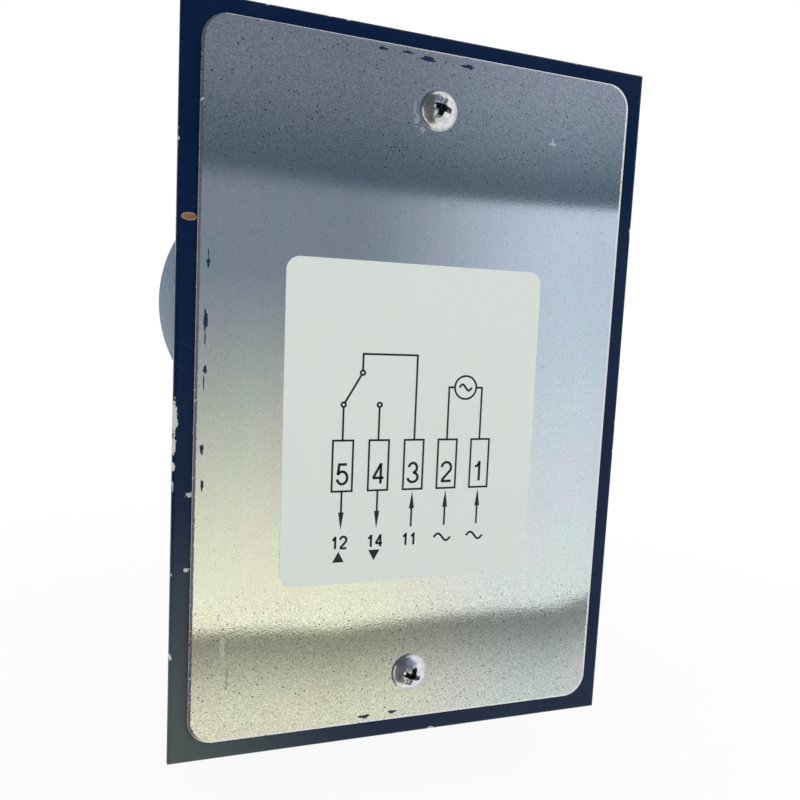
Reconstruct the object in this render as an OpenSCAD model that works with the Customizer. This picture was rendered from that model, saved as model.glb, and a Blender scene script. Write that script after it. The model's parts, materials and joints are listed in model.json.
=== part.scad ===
// Level switch for a hopper wall: a slow paddle turns in the bulk material, and when the material
// blocks it the motor swings on its own output shaft and trips a changeover switch.
// Millimetres. X is to the right and Z is up as the cover is seen, Y points into the hopper.
// The origin is on the shaft's axis, in the hopper side of the mounting flange.

/* [Housing] */
// Width of the housing
housing_w = 100; // [94:1:120]
// Height of the housing
housing_h = 150; // [146:1:180]
// Depth of the housing, from its back to its front rim
housing_d = 62; // [58:1:80]
// Thickness of the folded sheet
wall = 1.5; // [1:0.1:2]
// Outer radius of the folded edges
edge_r = 0.7; // [0.6:0.1:1.2]
// Width of the front rim that is folded inwards
rim_w = 8; // [6:0.5:9]
// Width of each screw tab of the rim
tab_w = 24; // [16:1:30]
// Radius of the corners of the front opening
opening_r = 4; // [2:0.5:6]

/* [Cover] */
// Width of the rim that shows left and right of the cover
cover_inset_w = 3.9; // [2:0.1:6]
// Width of the rim that shows above and below the cover
cover_inset_h = 3.8; // [2:0.1:6]
// Thickness of the cover plate
cover_t = 1; // [0.8:0.1:1.6]
// Radius of the cover's corners
cover_r = 5.2; // [3:0.1:8]
// Sideways play that the cover was screwed on with
cover_dx = -0.1; // [-0.8:0.1:0.8]
// Play up and down that the cover was screwed on with
cover_dz = 0.4; // [-0.8:0.1:0.8]
// Distance from each end of the housing to a cover screw
screw_inset = 15; // [13:0.5:19]
// How far the cover screws are right of the middle of the housing
screw_dx = 0.7; // [0:0.1:1]
// Nominal diameter of the cover screws
cover_screw_d = 4; // [3:0.5:4.5]

/* [Wiring label] */
// Width of the label
label_w = 56.1; // [40:0.1:80]
// Height of the label
label_h = 67.4; // [40:0.1:90]
// Thickness of the label
label_t = 0.15; // [0.1:0.05:0.3]
// Radius of the label's corners
label_r = 2.8; // [1:0.1:5]
// How far the label sits left of the cover's middle
label_left = 0.85; // [-5:0.05:5]
// How far the label sits below the cover's middle
label_drop = 5.3; // [-5:0.1:10]
// Turn of the label, as it was stuck on by hand
label_turn = 0.56; // [-2:0.02:2]

/* [Flange and shaft] */
// How far the shaft is left of the middle of the housing
shaft_left = 18; // [14:0.5:20]
// How far the shaft is above the bottom of the housing
shaft_up = 95; // [94:0.5:99]
// Diameter of the mounting flange
flange_d = 72; // [68:1:100]
// Thickness of the mounting flange
flange_t = 4; // [3:0.5:6]
// Diameter of the gasket between flange and housing
gasket_d = 62; // [50:1:66]
// Thickness of the gasket
gasket_t = 2; // [1:0.5:3]
// Diameter of the threaded boss behind the flange
boss_d = 26; // [22:1:30]
// Diameter of the ring nut on the boss
ring_nut_d = 38; // [34:1:44]
// Thickness of the ring nut
ring_nut_t = 5; // [3:0.5:8]
// Length of boss that stands out of the ring nut
boss_nose = 7; // [4:0.5:12]
// Number of mounting studs
stud_n = 4; // [3:1:6]
// Nominal diameter of the mounting studs
stud_d = 5; // [4:0.5:6]
// Length of the mounting studs in front of the flange
stud_l = 16; // [10:1:30]
// Diameter of the circle that the studs stand on
stud_pcd = 58; // [50:1:60]
// Diameter of the output shaft
shaft_d = 6; // [5:0.5:7]
// Wall of the sintered bushes
bush_wall = 2; // [1.5:0.5:3]
// Length of each sintered bush
bush_l = 8; // [5:0.5:8]
// Outer diameter of the shaft seal
seal_d = 16; // [14:0.5:20]
// Thickness of the shaft seal
seal_t = 4; // [3:0.5:5]
// Thickness of the retaining clip on the shaft
clip_t = 0.8; // [0.6:0.1:1.2]

/* [Paddle] */
// Width of the vane, across the shaft
vane_w = 40; // [30:1:44]
// Length of the vane, along the shaft
vane_l = 60; // [40:1:90]
// Thickness of the vane
vane_t = 1.5; // [1:0.1:2]
// Radius of the vane's outer corners
vane_r = 5; // [2:0.5:8]
// Diameter of the paddle hub
hub_d = 12; // [11:0.5:16]
// Length of the hub that sits on the shaft
hub_socket_l = 20; // [15:1:30]
// Length of the slotted end of the hub
hub_slot_l = 20; // [16:1:30]
// Free shaft between flange and hub
hub_gap = 4; // [2:0.5:10]

/* [Gear train] */
// Module of the gears
gear_m = 0.5; // [0.48:0.01:0.52]
// Teeth of each pinion
pinion_z = 12; // [12:1:12]
// Teeth of each wheel
wheel_z = 60; // [60:1:60]
// Width of the wheels
wheel_t = 2.5; // [2:0.1:3]
// Thickness of the two gear plates
plate_t = 1.5; // [1:0.1:2]
// Rim of plate round the wheels
plate_rim = 5.6; // [5:0.1:7]
// Diameter of the pinions' arbors
arbor_d = 2; // [1.5:0.1:2.4]
// Diameter of the three spacers between the plates
spacer_d = 3.5; // [3:0.1:4]
// Play between flange boss and gear unit
unit_gap = 5; // [4:0.5:8]

/* [Motor] */
// Diameter of the motor can
can_d = 44; // [40:1:46]
// Length of the motor can
can_l = 16; // [14:0.5:18]
// Thickness of the can's sheet
can_t = 0.8; // [0.6:0.1:1.2]
// Width of the brim that the can is screwed on by
brim_w = 4; // [4:0.5:5]
// Diameter of the rotor magnet
magnet_d = 15; // [12:0.5:18]

/* [Switch] */
// Swing of the blocked motor, in degrees
swing = 6; // [5:0.5:6]
// Distance from the shaft to the trip pin on the arm
arm_l = 44; // [42:0.5:46]
// Width of the arm
arm_w = 8; // [6:0.5:9]
// Diameter of the trip pin
trip_d = 4; // [3:0.5:5]
// Distance from the lever's hinge to where the trip pin meets it
lever_reach = 18; // [16:0.5:20]
// Thickness of the switch lever
lever_t = 0.5; // [0.4:0.1:0.8]
// Length of the switch's body
switch_l = 27.8; // [26:0.2:30]
// Depth of the switch's body, from plunger side to terminal side
switch_h = 15.9; // [14:0.1:18]
// Thickness of the switch's body
switch_t = 10.3; // [8:0.1:12]
// Distance between the switch's mounting holes, along its body
switch_pitch = 22.2; // [20:0.1:22.4]
// Distance from the lever's hinge to the plunger
plunger_reach = 7; // [6:0.5:8]
// Diameter of the plunger
plunger_d = 2.4; // [2:0.1:3]

/* [Return spring] */
// Distance from the spring's pins to the right wall of the housing
spring_inset = 18.5; // [17:0.5:21]
// Distance between the spring's pin and its post
spring_l = 38; // [32:1:46]
// Mean diameter of the coils
coil_d = 4.4; // [4:0.1:5]
// Diameter of the wire
wire_d = 0.6; // [0.4:0.05:0.7]
// Number of turns
turns = 15; // [10:1:20]
// Diameter of the spring's pin and post
spring_pin_d = 3; // [2.5:0.1:3.2]

/* [Terminals] */
// Number of terminals
poles = 5; // [4:1:5]
// Distance between terminals
pole_pitch = 8; // [7:0.5:9]
// Height of the terminal block
block_h = 18; // [16:0.5:20]
// Depth of the block's base
block_d = 9; // [7:0.5:12]
// Height of the barriers above the base
barrier_h = 6; // [4:0.5:8]
// Nominal diameter of the clamping screws
clamp_screw_d = 3; // [2.5:0.5:3.5]

/* [Cable gland] */
// Diameter of the gland's thread
gland_d = 16; // [12:1:20]
// Distance from the back of the housing to the gland's axis
gland_y = 24; // [20:1:30]
// Width across the flats of the gland's hexagon
gland_af = 19; // [18:0.5:24]
// Diameter of the hole in the gland's rubber
gland_hole_d = 8; // [6:0.5:9]
// Height of the gland's cap nut
cap_h = 11; // [9:0.5:13]

/* [Clearances] */
// Radial gap of parts that are fixed to each other
fit_gap = 0.02; // [0.01:0.01:0.05]
// Radial gap of parts that turn or slide in each other
run_gap = 0.04; // [0.02:0.01:0.08]
// Air between parts that pass each other
air = 0.3; // [0.3:0.05:0.5]
// Sideways play of the teeth
backlash = 0.14; // [0.12:0.01:0.18]

/* [Hidden] */
$fn = 64;
e = 0.01;
hole_play = 0.25;
screw_play = 0.1;
// The middle of the housing, seen from the shaft
mid_x = shaft_left;
mid_z = housing_h / 2 - shaft_up;
in_w = housing_w - 2 * wall;
in_h = housing_h - 2 * wall;
// Levels along Y, from the flange's hopper side towards the cover
base_t = 1.5;
y_flange = -flange_t;
y_back = y_flange - gasket_t;
y_inner = y_back - wall;
y_base = y_inner - base_t;
y_front = y_back - housing_d;
y_cover = y_front - cover_t;
y_label = y_cover - label_t;
y_nose = y_base - ring_nut_t - boss_nose;
y_clip = y_nose - air - clip_t;
y_unit = y_nose - unit_gap;
y_rear = y_unit - plate_t;
// The wheels and the longer pinions, in two layers between the gear plates
gear_gap = 0.8;
pinion_over = 0.5;
pinion_l = wheel_t + 2 * pinion_over;
y_wheel = y_rear - gear_gap - wheel_t;
y_pinion = y_wheel - pinion_over;
y_wheel2 = y_pinion - 2 * pinion_over - wheel_t;
y_pinion2 = y_wheel2 - pinion_over;
y_plate2 = y_pinion2 - pinion_over;
y_plate = y_plate2 - plate_t;
y_can = y_plate - can_l;
// Cover
cover_w = housing_w - 2 * cover_inset_w;
cover_h = housing_h - 2 * cover_inset_h;
cover_x = mid_x + cover_dx;
cover_z = mid_z + cover_dz;
screw_x = mid_x + screw_dx;
screw_pitch = housing_h - 2 * screw_inset;
tab_h = screw_inset - rim_w + 1.5 * cover_screw_d;
nut_af = 1.75 * cover_screw_d;
nut_t = 0.8 * cover_screw_d;
// Base plate
base_inset = 4;
base_r = 3;
rivet_d = 3.2;
rivet_inset = 10;
rivet_head_t = 1;
// The flange's parts
stud_root_d = 1.1 * stud_d;
nut_slot_w = 4;
nut_slot_d = 2;
bush_d = shaft_d + 2 * bush_wall;
seal_skin = 1.2;
sleeve_d = 1.5 * shaft_d;
collar_d = 2 * shaft_d;
collar_t = 1.5;
pivot_d = shaft_d / 2;
// The gear train: shaft, idler and rotor stand on an equilateral triangle
gear_a = gear_m * (pinion_z + wheel_z) / 2;
idler_x = gear_a * cos(60);
idler_z = gear_a * sin(60);
rotor_x = gear_a;
pinion_tip = gear_m * (pinion_z / 2 + 1);
wheel_tip = gear_m * (wheel_z / 2 + 0.7);
wheel_hub_t = 0.5;
tip_gap = 0.25 * gear_m;
lobe_r = wheel_tip + plate_rim;
brim_r = can_d / 2 + brim_w;
brim_t = 1;
brim_screw_r = (can_d + brim_w) / 2;
brim_screw_d = 2;
stake_d = 2;
spacer_r = wheel_tip + plate_rim - spacer_d;
spacer_at = [
    [spacer_r * cos(200), spacer_r * sin(200)],
    [idler_x + spacer_r * cos(100), idler_z + spacer_r * sin(100)],
    [rotor_x + (brim_r - spacer_d) * cos(-35), (brim_r - spacer_d) * sin(-35)]
];
// Motor
coil_end = 1;
magnet_end = 2;
pole_gap = 0.8;
// The trip: the lever stands parallel to the switch when the swing ends
lever_off = trip_d / 2 + lever_t / 2 + air;
hinge_x = arm_l * sin(swing) + lever_off;
hinge_z = -arm_l - lever_reach;
lever_rest = atan(hinge_x / lever_reach) - asin(lever_off / norm([hinge_x, lever_reach]));
lever_w = 4;
lever_l = lever_reach + trip_d;
lever_pin_d = 1.2;
knuckle_d = 2.4;
cheek_t = 1.4;
cheek_y = lever_w / 2 + air + cheek_t / 2;
switch_x = hinge_x + knuckle_d / 2 + air;
switch_foot = 2.5;
switch_z = hinge_z - switch_foot;
switch_r = 0.8;
standoff_over = 2;
standoff_af = 5.5;
y_switch = y_rear - standoff_over;
y_lever = y_switch - switch_t / 2;
switch_hole = 2.8;
switch_screw_d = 3;
blade_l = 6.4;
blade_w = 3.2;
blade_t = 0.5;
blade_edge = 3;
plunger_z = hinge_z + plunger_reach;
dome_off = lever_t / 2 + plunger_d / 2 + air;
dome_x = hinge_x + (dome_off - plunger_reach * sin(lever_rest)) / cos(lever_rest);
plunger_travel = hinge_x + dome_off - dome_x;
plunger_l = 7;
// Stops either side of the arm
stop_d = 4;
stop_over = 1.5;
stop_up = 9;
stop_z = -arm_l + trip_d / 2 + stop_up;
rest_stop_x = -arm_w / 2 - air - stop_d / 2;
end_stop_x = (arm_w / 2 + air + stop_d / 2 - stop_z * sin(swing)) / cos(swing);
// The spring hooks onto two pins, in one plane
spring_x = mid_x + in_w / 2 - spring_inset;
spring_arm_w = 7;
hook_l = 1.5;
y_spring = y_rear - coil_d / 2 - wire_d;
pin_head_d = spring_pin_d + 2 * wire_d;
pin_head_t = 0.8;
y_pin_end = y_spring - wire_d - pin_head_t;
loop_r = spring_pin_d / 2 + wire_d / 2 + air;
// Terminals
block_w = poles * pole_pitch + 2;
block_inset = 5;
block_floor = 1.5;
block_z = -shaft_up + wall + block_inset + block_h / 2;
y_block = y_base - block_d;
barrier_t = 1.4;
clamp_t = 1;
clamp_side = 0.4;
clamp_end = 1;
ear_w = 7;
ear_t = 3;
ear_end = 2;
block_screw_d = 3;
// Gland
y_gland = y_back - gland_y;
hex_h = 5;
mouth_l = 5;
rubber_wall = 2;
rubber_out = 2;
rubber_l = 7.5;
rubber_seat = 0.5;
cap_cone = 3;
cap_lip = 0.5;
lock_t = 3;
stub_l = wall + lock_t + 2;
// Paddle
y_socket = hub_gap + hub_socket_l;
socket_end = 1;
flat_x = 0.4 * hub_d;
flat_start = 2;
vane_screw_d = 3;
vane_head_d = 5.5;
vane_head_t = 1.8;
set_screw_d = 4;
set_screw_y = hub_gap + 6;

// A round bar along Y, from y0 to y1
module rod(d, y0, y1) translate([0, y0, 0]) rotate([-90, 0, 0]) cylinder(d = d, h = y1 - y0);

// A flat shape drawn in X and Z, from y0 to y1
module slab(y0, y1) translate([0, y1, 0]) rotate([90, 0, 0]) linear_extrude(y1 - y0) children();

module at(x, z) translate([x, 0, z]) children();

module tube(d, bore, y0, y1) difference() {
    rod(d, y0, y1);
    rod(bore, y0 - e, y1 + e);
}

module round_rect(w, h, r) {
    square([w - 2 * r, h], center = true);
    square([w, h - 2 * r], center = true);
    for (x = [-1, 1], z = [-1, 1]) translate([x * (w / 2 - r), z * (h / 2 - r)]) circle(r);
}

module hexagon(af) circle(d = af / cos(30), $fn = 6);

// A pan head screw with a cross recess, its head on the side of the cover
module pan_screw(d, seat, length) {
    head_r = 1.02 * d;
    head_h = 0.7 * d;
    dome_r = 1.6 * head_r;
    difference() {
        translate([0, seat, 0]) rotate([90, 0, 0]) rotate_extrude() {
            square([head_r, head_h / 3]);
            intersection() {
                translate([0, head_h - dome_r]) circle(dome_r);
                square([head_r, head_h]);
            }
        }
        for (a = [45, 135]) translate([0, seat - head_h, 0]) rotate([0, a, 0])
            cube([1.1 * d, head_h, 0.26 * d], center = true);
    }
    rod(d, seat, seat + length);
}

// A cheese head screw with one slot
module slot_screw(d, seat, length) {
    head_h = 0.6 * d;
    difference() {
        rod(1.8 * d, seat - head_h, seat);
        translate([-d, seat - head_h - e, -0.12 * d]) cube([2 * d, head_h / 2, 0.24 * d]);
    }
    rod(d, seat, seat + length);
}

function inv(a) = tan(a) * 180 / PI - a;

// Half the angle that a tooth fills at radius r
function tooth_half(z, r) =
    90 / z - backlash / (gear_m * z) * 90 / PI + inv(20)
    - inv(acos(min(1, gear_m * z / 2 * cos(20) / r)));

// Involute teeth through the given radii, root first
function gear_points(z, radii) = [
    for (i = [0:z - 1]) each concat(
        [for (r = radii) let (a = i * 360 / z - tooth_half(z, r)) r * [cos(a), sin(a)]],
        [for (j = [len(radii) - 1:-1:0])
            let (r = radii[j], a = i * 360 / z + tooth_half(z, r)) r * [cos(a), sin(a)]]
    )
];

module wheel_shape() polygon(gear_points(wheel_z, [gear_a - pinion_tip - tip_gap, wheel_tip]));

module pinion_shape() {
    pitch_r = gear_m * pinion_z / 2;
    root_r = gear_a - wheel_tip - tip_gap;
    rotate(180 / pinion_z)
        polygon(gear_points(pinion_z, [root_r, pitch_r * cos(20), pitch_r, pinion_tip]));
}

// A box with rounded edges: what three rounded bars share, one along each axis
module rounded_box(x, y, z, r) intersection() {
    linear_extrude(z + 2 * r, center = true) round_rect(x, y, r);
    rotate([90, 0, 0]) linear_extrude(y + 2 * r, center = true) round_rect(x, z, r);
    rotate([0, 90, 0]) linear_extrude(x + 2 * r, center = true) round_rect(z, y, r);
}

// Casing

module cover_holes() for (s = [-1, 1]) at(screw_x, mid_z + s * screw_pitch / 2) children();

module housing() color("midnightblue") difference() {
    translate([mid_x, y_back - housing_d / 2, mid_z])
        rounded_box(housing_w, housing_d, housing_h, edge_r);
    translate([mid_x - in_w / 2, y_front + wall, mid_z - in_h / 2])
        cube([in_w, housing_d - 2 * wall, in_h]);
    at(mid_x, mid_z) slab(y_front - e, y_front + wall + e) difference() {
        round_rect(housing_w - 2 * rim_w, housing_h - 2 * rim_w, opening_r);
        for (s = [-1, 1]) translate([0, s * (housing_h / 2 - rim_w - tab_h / 2)])
            square([tab_w, tab_h + 2 * e], center = true);
    }
    cover_holes() rod(cover_screw_d + 2 * hole_play, y_front - e, y_front + wall + e);
    rod(boss_d + 2 * hole_play, y_inner - e, y_back + e);
    base_corners() rod(rivet_d + 2 * fit_gap, y_inner - e, y_back + e);
    gland_axis(-e) cylinder(d = gland_d + 2 * hole_play, h = wall + 2 * e);
}

module cover_plate() color("silver") difference() {
    at(cover_x, cover_z) slab(y_cover, y_front) round_rect(cover_w, cover_h, cover_r);
    cover_holes() rod(cover_screw_d + 2 * hole_play, y_cover - e, y_front + e);
}

module wiring_label() color("ghostwhite")
    at(cover_x - label_left, cover_z - label_drop) rotate([0, -label_turn, 0])
        slab(y_label, y_cover) round_rect(label_w, label_h, label_r);

module cover_screws() color("gainsboro")
    cover_holes() pan_screw(cover_screw_d, y_cover, cover_t + wall + nut_t + cover_screw_d / 4);

module cover_nuts() color("silver") cover_holes() difference() {
    slab(y_front + wall, y_front + wall + nut_t) hexagon(nut_af);
    rod(cover_screw_d + 2 * fit_gap, y_front + wall - e, y_front + wall + nut_t + e);
}

// Flange and shaft bearing

module studs() for (i = [0:stud_n - 1]) rotate([0, 45 + i * 360 / stud_n, 0])
    at(stud_pcd / 2, 0) children();

module flange() color("silver") difference() {
    union() {
        rod(flange_d, y_flange, 0);
        rod(boss_d, y_nose, y_flange);
    }
    rod(bush_d + 2 * fit_gap, y_nose - e, e);
    rod(seal_d + 2 * fit_gap, -seal_t, e);
    studs() rod(stud_root_d + 2 * fit_gap, y_flange - e, e);
}

// Each stud has a thicker root, pressed into the flange
module flange_studs() color("silver") studs() {
    rod(stud_root_d, y_flange, 0);
    rod(stud_d, y_flange, stud_l);
}

module flange_gasket() color("dimgray") tube(gasket_d, boss_d + 2 * hole_play, y_back, y_flange);

module ring_nut() color("darkgray") difference() {
    tube(ring_nut_d, boss_d + 2 * fit_gap, y_base - ring_nut_t, y_base);
    for (a = [0, 90]) rotate([0, a, 0])
        translate([-ring_nut_d, y_base - ring_nut_t - e, -nut_slot_w / 2])
            cube([2 * ring_nut_d, nut_slot_d, nut_slot_w]);
}

module shaft_bushes() color("peru")
    for (y = [y_nose, -seal_t - bush_l]) tube(bush_d, shaft_d + 2 * run_gap, y, y + bush_l);

module shaft_seal() color("black") rotate([-90, 0, 0]) rotate_extrude() polygon([
    [shaft_d / 2 + run_gap, -seal_t],
    [seal_d / 2, -seal_t],
    [seal_d / 2, 0],
    [seal_d / 2 - seal_skin, 0],
    [seal_d / 2 - seal_skin, seal_skin - seal_t],
    [shaft_d / 2 + 1.4 * seal_skin, seal_skin - seal_t],
    [shaft_d / 2 + 0.8 * seal_skin, -0.5 * seal_skin],
    [shaft_d / 2 + run_gap, -0.8 * seal_skin]
]);

// Fixed parts inside

module base_corners() for (i = [-1, 1], k = [-1, 1])
    at(mid_x + i * (in_w / 2 - rivet_inset), mid_z + k * (in_h / 2 - rivet_inset)) children();

module base_plate() color("lightsteelblue") difference() {
    at(mid_x, mid_z) slab(y_base, y_inner)
        round_rect(in_w - 2 * base_inset, in_h - 2 * base_inset, base_r);
    rod(boss_d + 2 * hole_play, y_base - e, y_inner + e);
    base_corners() rod(rivet_d + 2 * fit_gap, y_base - e, y_inner + e);
}

module base_rivets() color("silver") base_corners() {
    rod(rivet_d, y_base, y_back);
    rod(2 * rivet_d, y_base - rivet_head_t, y_base);
}

module stop_posts() color("gold") for (x = [rest_stop_x, end_stop_x])
    at(x, stop_z) rod(stop_d, y_rear - stop_over, y_base);

// A post or pin for the spring, with a head that keeps the loop on
module headed_pin(y1) {
    rod(spring_pin_d, y_pin_end, y1);
    rod(pin_head_d, y_pin_end, y_pin_end + pin_head_t);
}

module spring_post() color("gold") at(spring_x, -spring_l) headed_pin(y_base);

// Round wire along a list of points, each with a direction that its section doesn't turn about
module wire(path, d, sides = 6) {
    n = len(path);
    dirs = [for (i = [0:n - 1])
        let (v = path[min(i + 1, n - 1)][0] - path[max(i - 1, 0)][0]) v / norm(v)];
    ups = [for (i = [0:n - 1]) let (v = cross(dirs[i], path[i][1])) v / norm(v)];
    polyhedron(
        [for (i = [0:n - 1], k = [0:sides - 1])
            let (b = cross(dirs[i], ups[i]), a = k * 360 / sides)
            path[i][0] + d / 2 * (cos(a) * ups[i] + sin(a) * b)],
        concat(
            [[for (k = [0:sides - 1]) k]],
            [for (i = [0:n - 2], k = [0:sides - 1]) let (a = i * sides, j = (k + 1) % sides)
                each [[a + k, a + sides + k, a + sides + j], [a + k, a + sides + j, a + j]]],
            [[for (k = [sides - 1:-1:0]) (n - 1) * sides + k]]
        )
    );
}

// A loop round the lower post, the coils, and a loop round the pin on the arm
function spring_path() = let (
    r = coil_d / 2, z0 = -spring_l + loop_r + hook_l, z1 = -loop_r - hook_l, steps = turns * 12
) concat(
    [for (a = [-120:30:180]) [[loop_r * sin(a), 0, -spring_l - loop_r * cos(a)], [0, 1, 0]]],
    [for (i = [0:steps]) let (a = i * 30)
        [[-r * cos(a), r * sin(a), z0 + (z1 - z0) * i / steps], [cos(a), -sin(a), 0]]],
    [for (a = [180:-30:-120]) [[loop_r * sin(a), 0, loop_r * cos(a)], [0, -1, 0]]]
);

module return_spring() color("silver") translate([spring_x, y_spring, 0]) wire(spring_path(), wire_d);

// Changeover switch

module switch_holes() {
    at(switch_x + switch_hole, switch_z + switch_hole) children();
    at(switch_x + switch_h - switch_hole, switch_z + switch_hole + switch_pitch) children();
}

module switch_standoffs() color("gold") switch_holes() slab(y_switch, y_base) hexagon(standoff_af);

module switch_body() color("black") difference() {
    union() {
        at(switch_x + switch_h / 2, switch_z + switch_l / 2) slab(y_switch - switch_t, y_switch)
            round_rect(switch_h, switch_l, switch_r);
        for (s = [-1, 1]) at(hinge_x + knuckle_d / 2, hinge_z)
            slab(y_lever + s * cheek_y - cheek_t / 2, y_lever + s * cheek_y + cheek_t / 2)
                square([2 * knuckle_d, knuckle_d], center = true);
    }
    switch_holes() rod(switch_screw_d + 2 * screw_play, y_switch - switch_t - e, y_switch + e);
    at(hinge_x, hinge_z) rod(lever_pin_d + 2 * fit_gap, y_lever - lever_w, y_lever + lever_w);
    translate([switch_x - e, y_lever, plunger_z]) rotate([0, 90, 0])
        cylinder(d = plunger_d + 2 * run_gap, h = plunger_l + air);
}

module switch_screws() color("silver") switch_holes()
    slot_screw(switch_screw_d, y_switch - switch_t, switch_t);

module switch_terminals() color("gold") for (k = [-1:1])
    translate([switch_x + switch_h + blade_l / 2, y_lever,
        switch_z + switch_l / 2 + k * (switch_l / 2 - blade_edge - blade_w / 2)])
        cube([blade_l, blade_t, blade_w], center = true);

module lever_pin() color("silver") at(hinge_x, hinge_z)
    rod(lever_pin_d, y_lever - cheek_y - cheek_t / 2, y_lever + cheek_y + cheek_t / 2);

module switch_lever() color("silver") at(hinge_x, hinge_z) rotate([0, -lever_rest, 0]) difference() {
    slab(y_lever - lever_w / 2, y_lever + lever_w / 2) {
        circle(d = knuckle_d);
        translate([-lever_t / 2, 0]) square([lever_t, lever_l]);
    }
    rod(lever_pin_d + 2 * run_gap, y_lever - lever_w, y_lever + lever_w);
}

// A round bar with a domed end, which the lever presses in
module switch_plunger() color("firebrick") translate([dome_x, y_lever, plunger_z]) {
    sphere(d = plunger_d);
    rotate([0, 90, 0])
        cylinder(d = plunger_d, h = switch_x + plunger_l - plunger_travel - dome_x);
}

// Terminal block

module poles_at(z) for (i = [0:poles - 1])
    at(mid_x + (i - (poles - 1) / 2) * pole_pitch, block_z + z) children();

module clamp_points() for (s = [-1, 1]) poles_at(s * block_h / 4) children();

module block_ears() for (s = [-1, 1]) at(mid_x + s * (block_w + ear_w) / 2, block_z) children();

module terminal_block() color("beige") difference() {
    union() {
        at(mid_x, block_z) slab(y_block, y_base) square([block_w, block_h], center = true);
        for (i = [0:poles]) at(mid_x + (i - poles / 2) * pole_pitch, block_z)
            slab(y_block - barrier_h, y_block) square([barrier_t, block_h], center = true);
        block_ears() slab(y_base - ear_t, y_base)
            square([ear_w, block_h - 2 * ear_end], center = true);
    }
    clamp_points() rod(clamp_screw_d + 2 * screw_play, y_block - e, y_base - block_floor);
    block_ears() rod(block_screw_d + 2 * hole_play, y_base - ear_t - e, y_base + e);
}

module terminal_clamps() color("gold") difference() {
    poles_at(0) slab(y_block - clamp_t, y_block)
        square([pole_pitch - barrier_t - 2 * clamp_side, block_h - 2 * clamp_end], center = true);
    clamp_points() rod(clamp_screw_d + 2 * screw_play, y_block - clamp_t - e, y_block + e);
}

module terminal_screws() color("gainsboro") clamp_points()
    slot_screw(clamp_screw_d, y_block - clamp_t, block_d - block_floor);

module block_screws() color("silver") block_ears()
    slot_screw(block_screw_d, y_base - ear_t, ear_t);

// Cable gland in the bottom of the housing, without a cable

module gland_axis(z) translate([mid_x, y_gland, z - shaft_up]) children();

module gland_body() color("dimgray") difference() {
    union() {
        gland_axis(-hex_h) linear_extrude(hex_h) hexagon(gland_af);
        gland_axis(0) cylinder(d = gland_d, h = stub_l);
        gland_axis(-hex_h - mouth_l) cylinder(d = gland_d, h = mouth_l);
    }
    gland_axis(-hex_h - mouth_l - e) cylinder(
        d = gland_hole_d + 2 * rubber_wall + 2 * fit_gap,
        h = rubber_l - rubber_out + rubber_seat
    );
    gland_axis(-hex_h) cylinder(d = gland_hole_d + rubber_wall, h = hex_h + stub_l + e);
}

module gland_seal() color("black") gland_axis(-hex_h - mouth_l - rubber_out) difference() {
    cylinder(d = gland_hole_d + 2 * rubber_wall, h = rubber_l);
    translate([0, 0, -e]) cylinder(d = gland_hole_d, h = rubber_l + 2 * e);
}

module gland_cap() color("dimgray") gland_axis(-hex_h - air - cap_h) difference() {
    union() {
        translate([0, 0, cap_cone]) linear_extrude(cap_h - cap_cone) hexagon(gland_af);
        cylinder(d1 = gland_af - 4, d2 = gland_af, h = cap_cone);
    }
    translate([0, 0, -e]) cylinder(d = gland_hole_d + 2 * cap_lip, h = cap_h);
    translate([0, 0, cap_h + air - mouth_l - rubber_out])
        cylinder(d = gland_d + 2 * fit_gap, h = cap_h);
}

module gland_locknut() color("dimgray") difference() {
    gland_axis(wall) linear_extrude(lock_t) hexagon(gland_af + 1);
    gland_axis(wall - e) cylinder(d = gland_d + 2 * fit_gap, h = lock_t + 2 * e);
}

// Gear unit, which swings on the shaft

module pear(r_out, r_rotor) hull() {
    circle(r_out, $fn = 48);
    translate([idler_x, idler_z]) circle(r_out, $fn = 48);
    translate([rotor_x, 0]) circle(r_rotor, $fn = 48);
}

module spacers() for (p = spacer_at) at(p[0], p[1]) children();

module arbors() for (p = [[idler_x, idler_z], [rotor_x, 0]]) at(p[0], p[1]) children();

module brim_holes() for (a = [60, 180, 300])
    at(brim_screw_r * cos(a), brim_screw_r * sin(a)) children();

module gear_rear_plate() color("lightgray") difference() {
    slab(y_rear, y_unit) {
        pear(lobe_r, brim_r);
        translate([-arm_w / 2, -arm_l]) square([arm_w, arm_l]);
        translate([0, -arm_l]) circle(d = arm_w);
        translate([rotor_x, -spring_arm_w / 2]) square([spring_x - rotor_x, spring_arm_w]);
        translate([spring_x, 0]) circle(d = spring_arm_w);
    }
    rod(sleeve_d + 2 * fit_gap, y_rear - e, y_unit + e);
    spacers() rod(stake_d + 2 * fit_gap, y_rear - e, y_unit + e);
    arbors() rod(arbor_d + 2 * run_gap, y_rear - e, y_unit + e);
}

module gear_front_plate() color("lightgray") difference() {
    slab(y_plate, y_plate2) pear(lobe_r, brim_r);
    rod(pivot_d + 2 * run_gap, y_plate - e, y_plate2 + e);
    arbors() rod(arbor_d + 2 * run_gap, y_plate - e, y_plate2 + e);
    spacers() rod(stake_d + 2 * fit_gap, y_plate - e, y_plate2 + e);
    at(rotor_x, 0) brim_holes() rod(brim_screw_d + 2 * fit_gap, y_plate - e, y_plate2 + e);
}

// Turned pillars, staked into both plates
module gear_spacers() color("gold") spacers() {
    rod(spacer_d, y_plate2, y_rear);
    rod(stake_d, y_plate, y_unit);
}

module output_bearing() color("peru") difference() {
    union() {
        rod(sleeve_d, y_rear, y_unit);
        rod(collar_d, y_unit, y_unit + collar_t);
    }
    rod(shaft_d + 2 * run_gap, y_rear - e, y_unit + collar_t + e);
}

module trip_pin() color("silver") at(0, -arm_l)
    rod(trip_d, y_lever - lever_w / 2 - trip_d / 2, y_rear);

module spring_pin() color("silver") at(spring_x, 0) headed_pin(y_rear);

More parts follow.
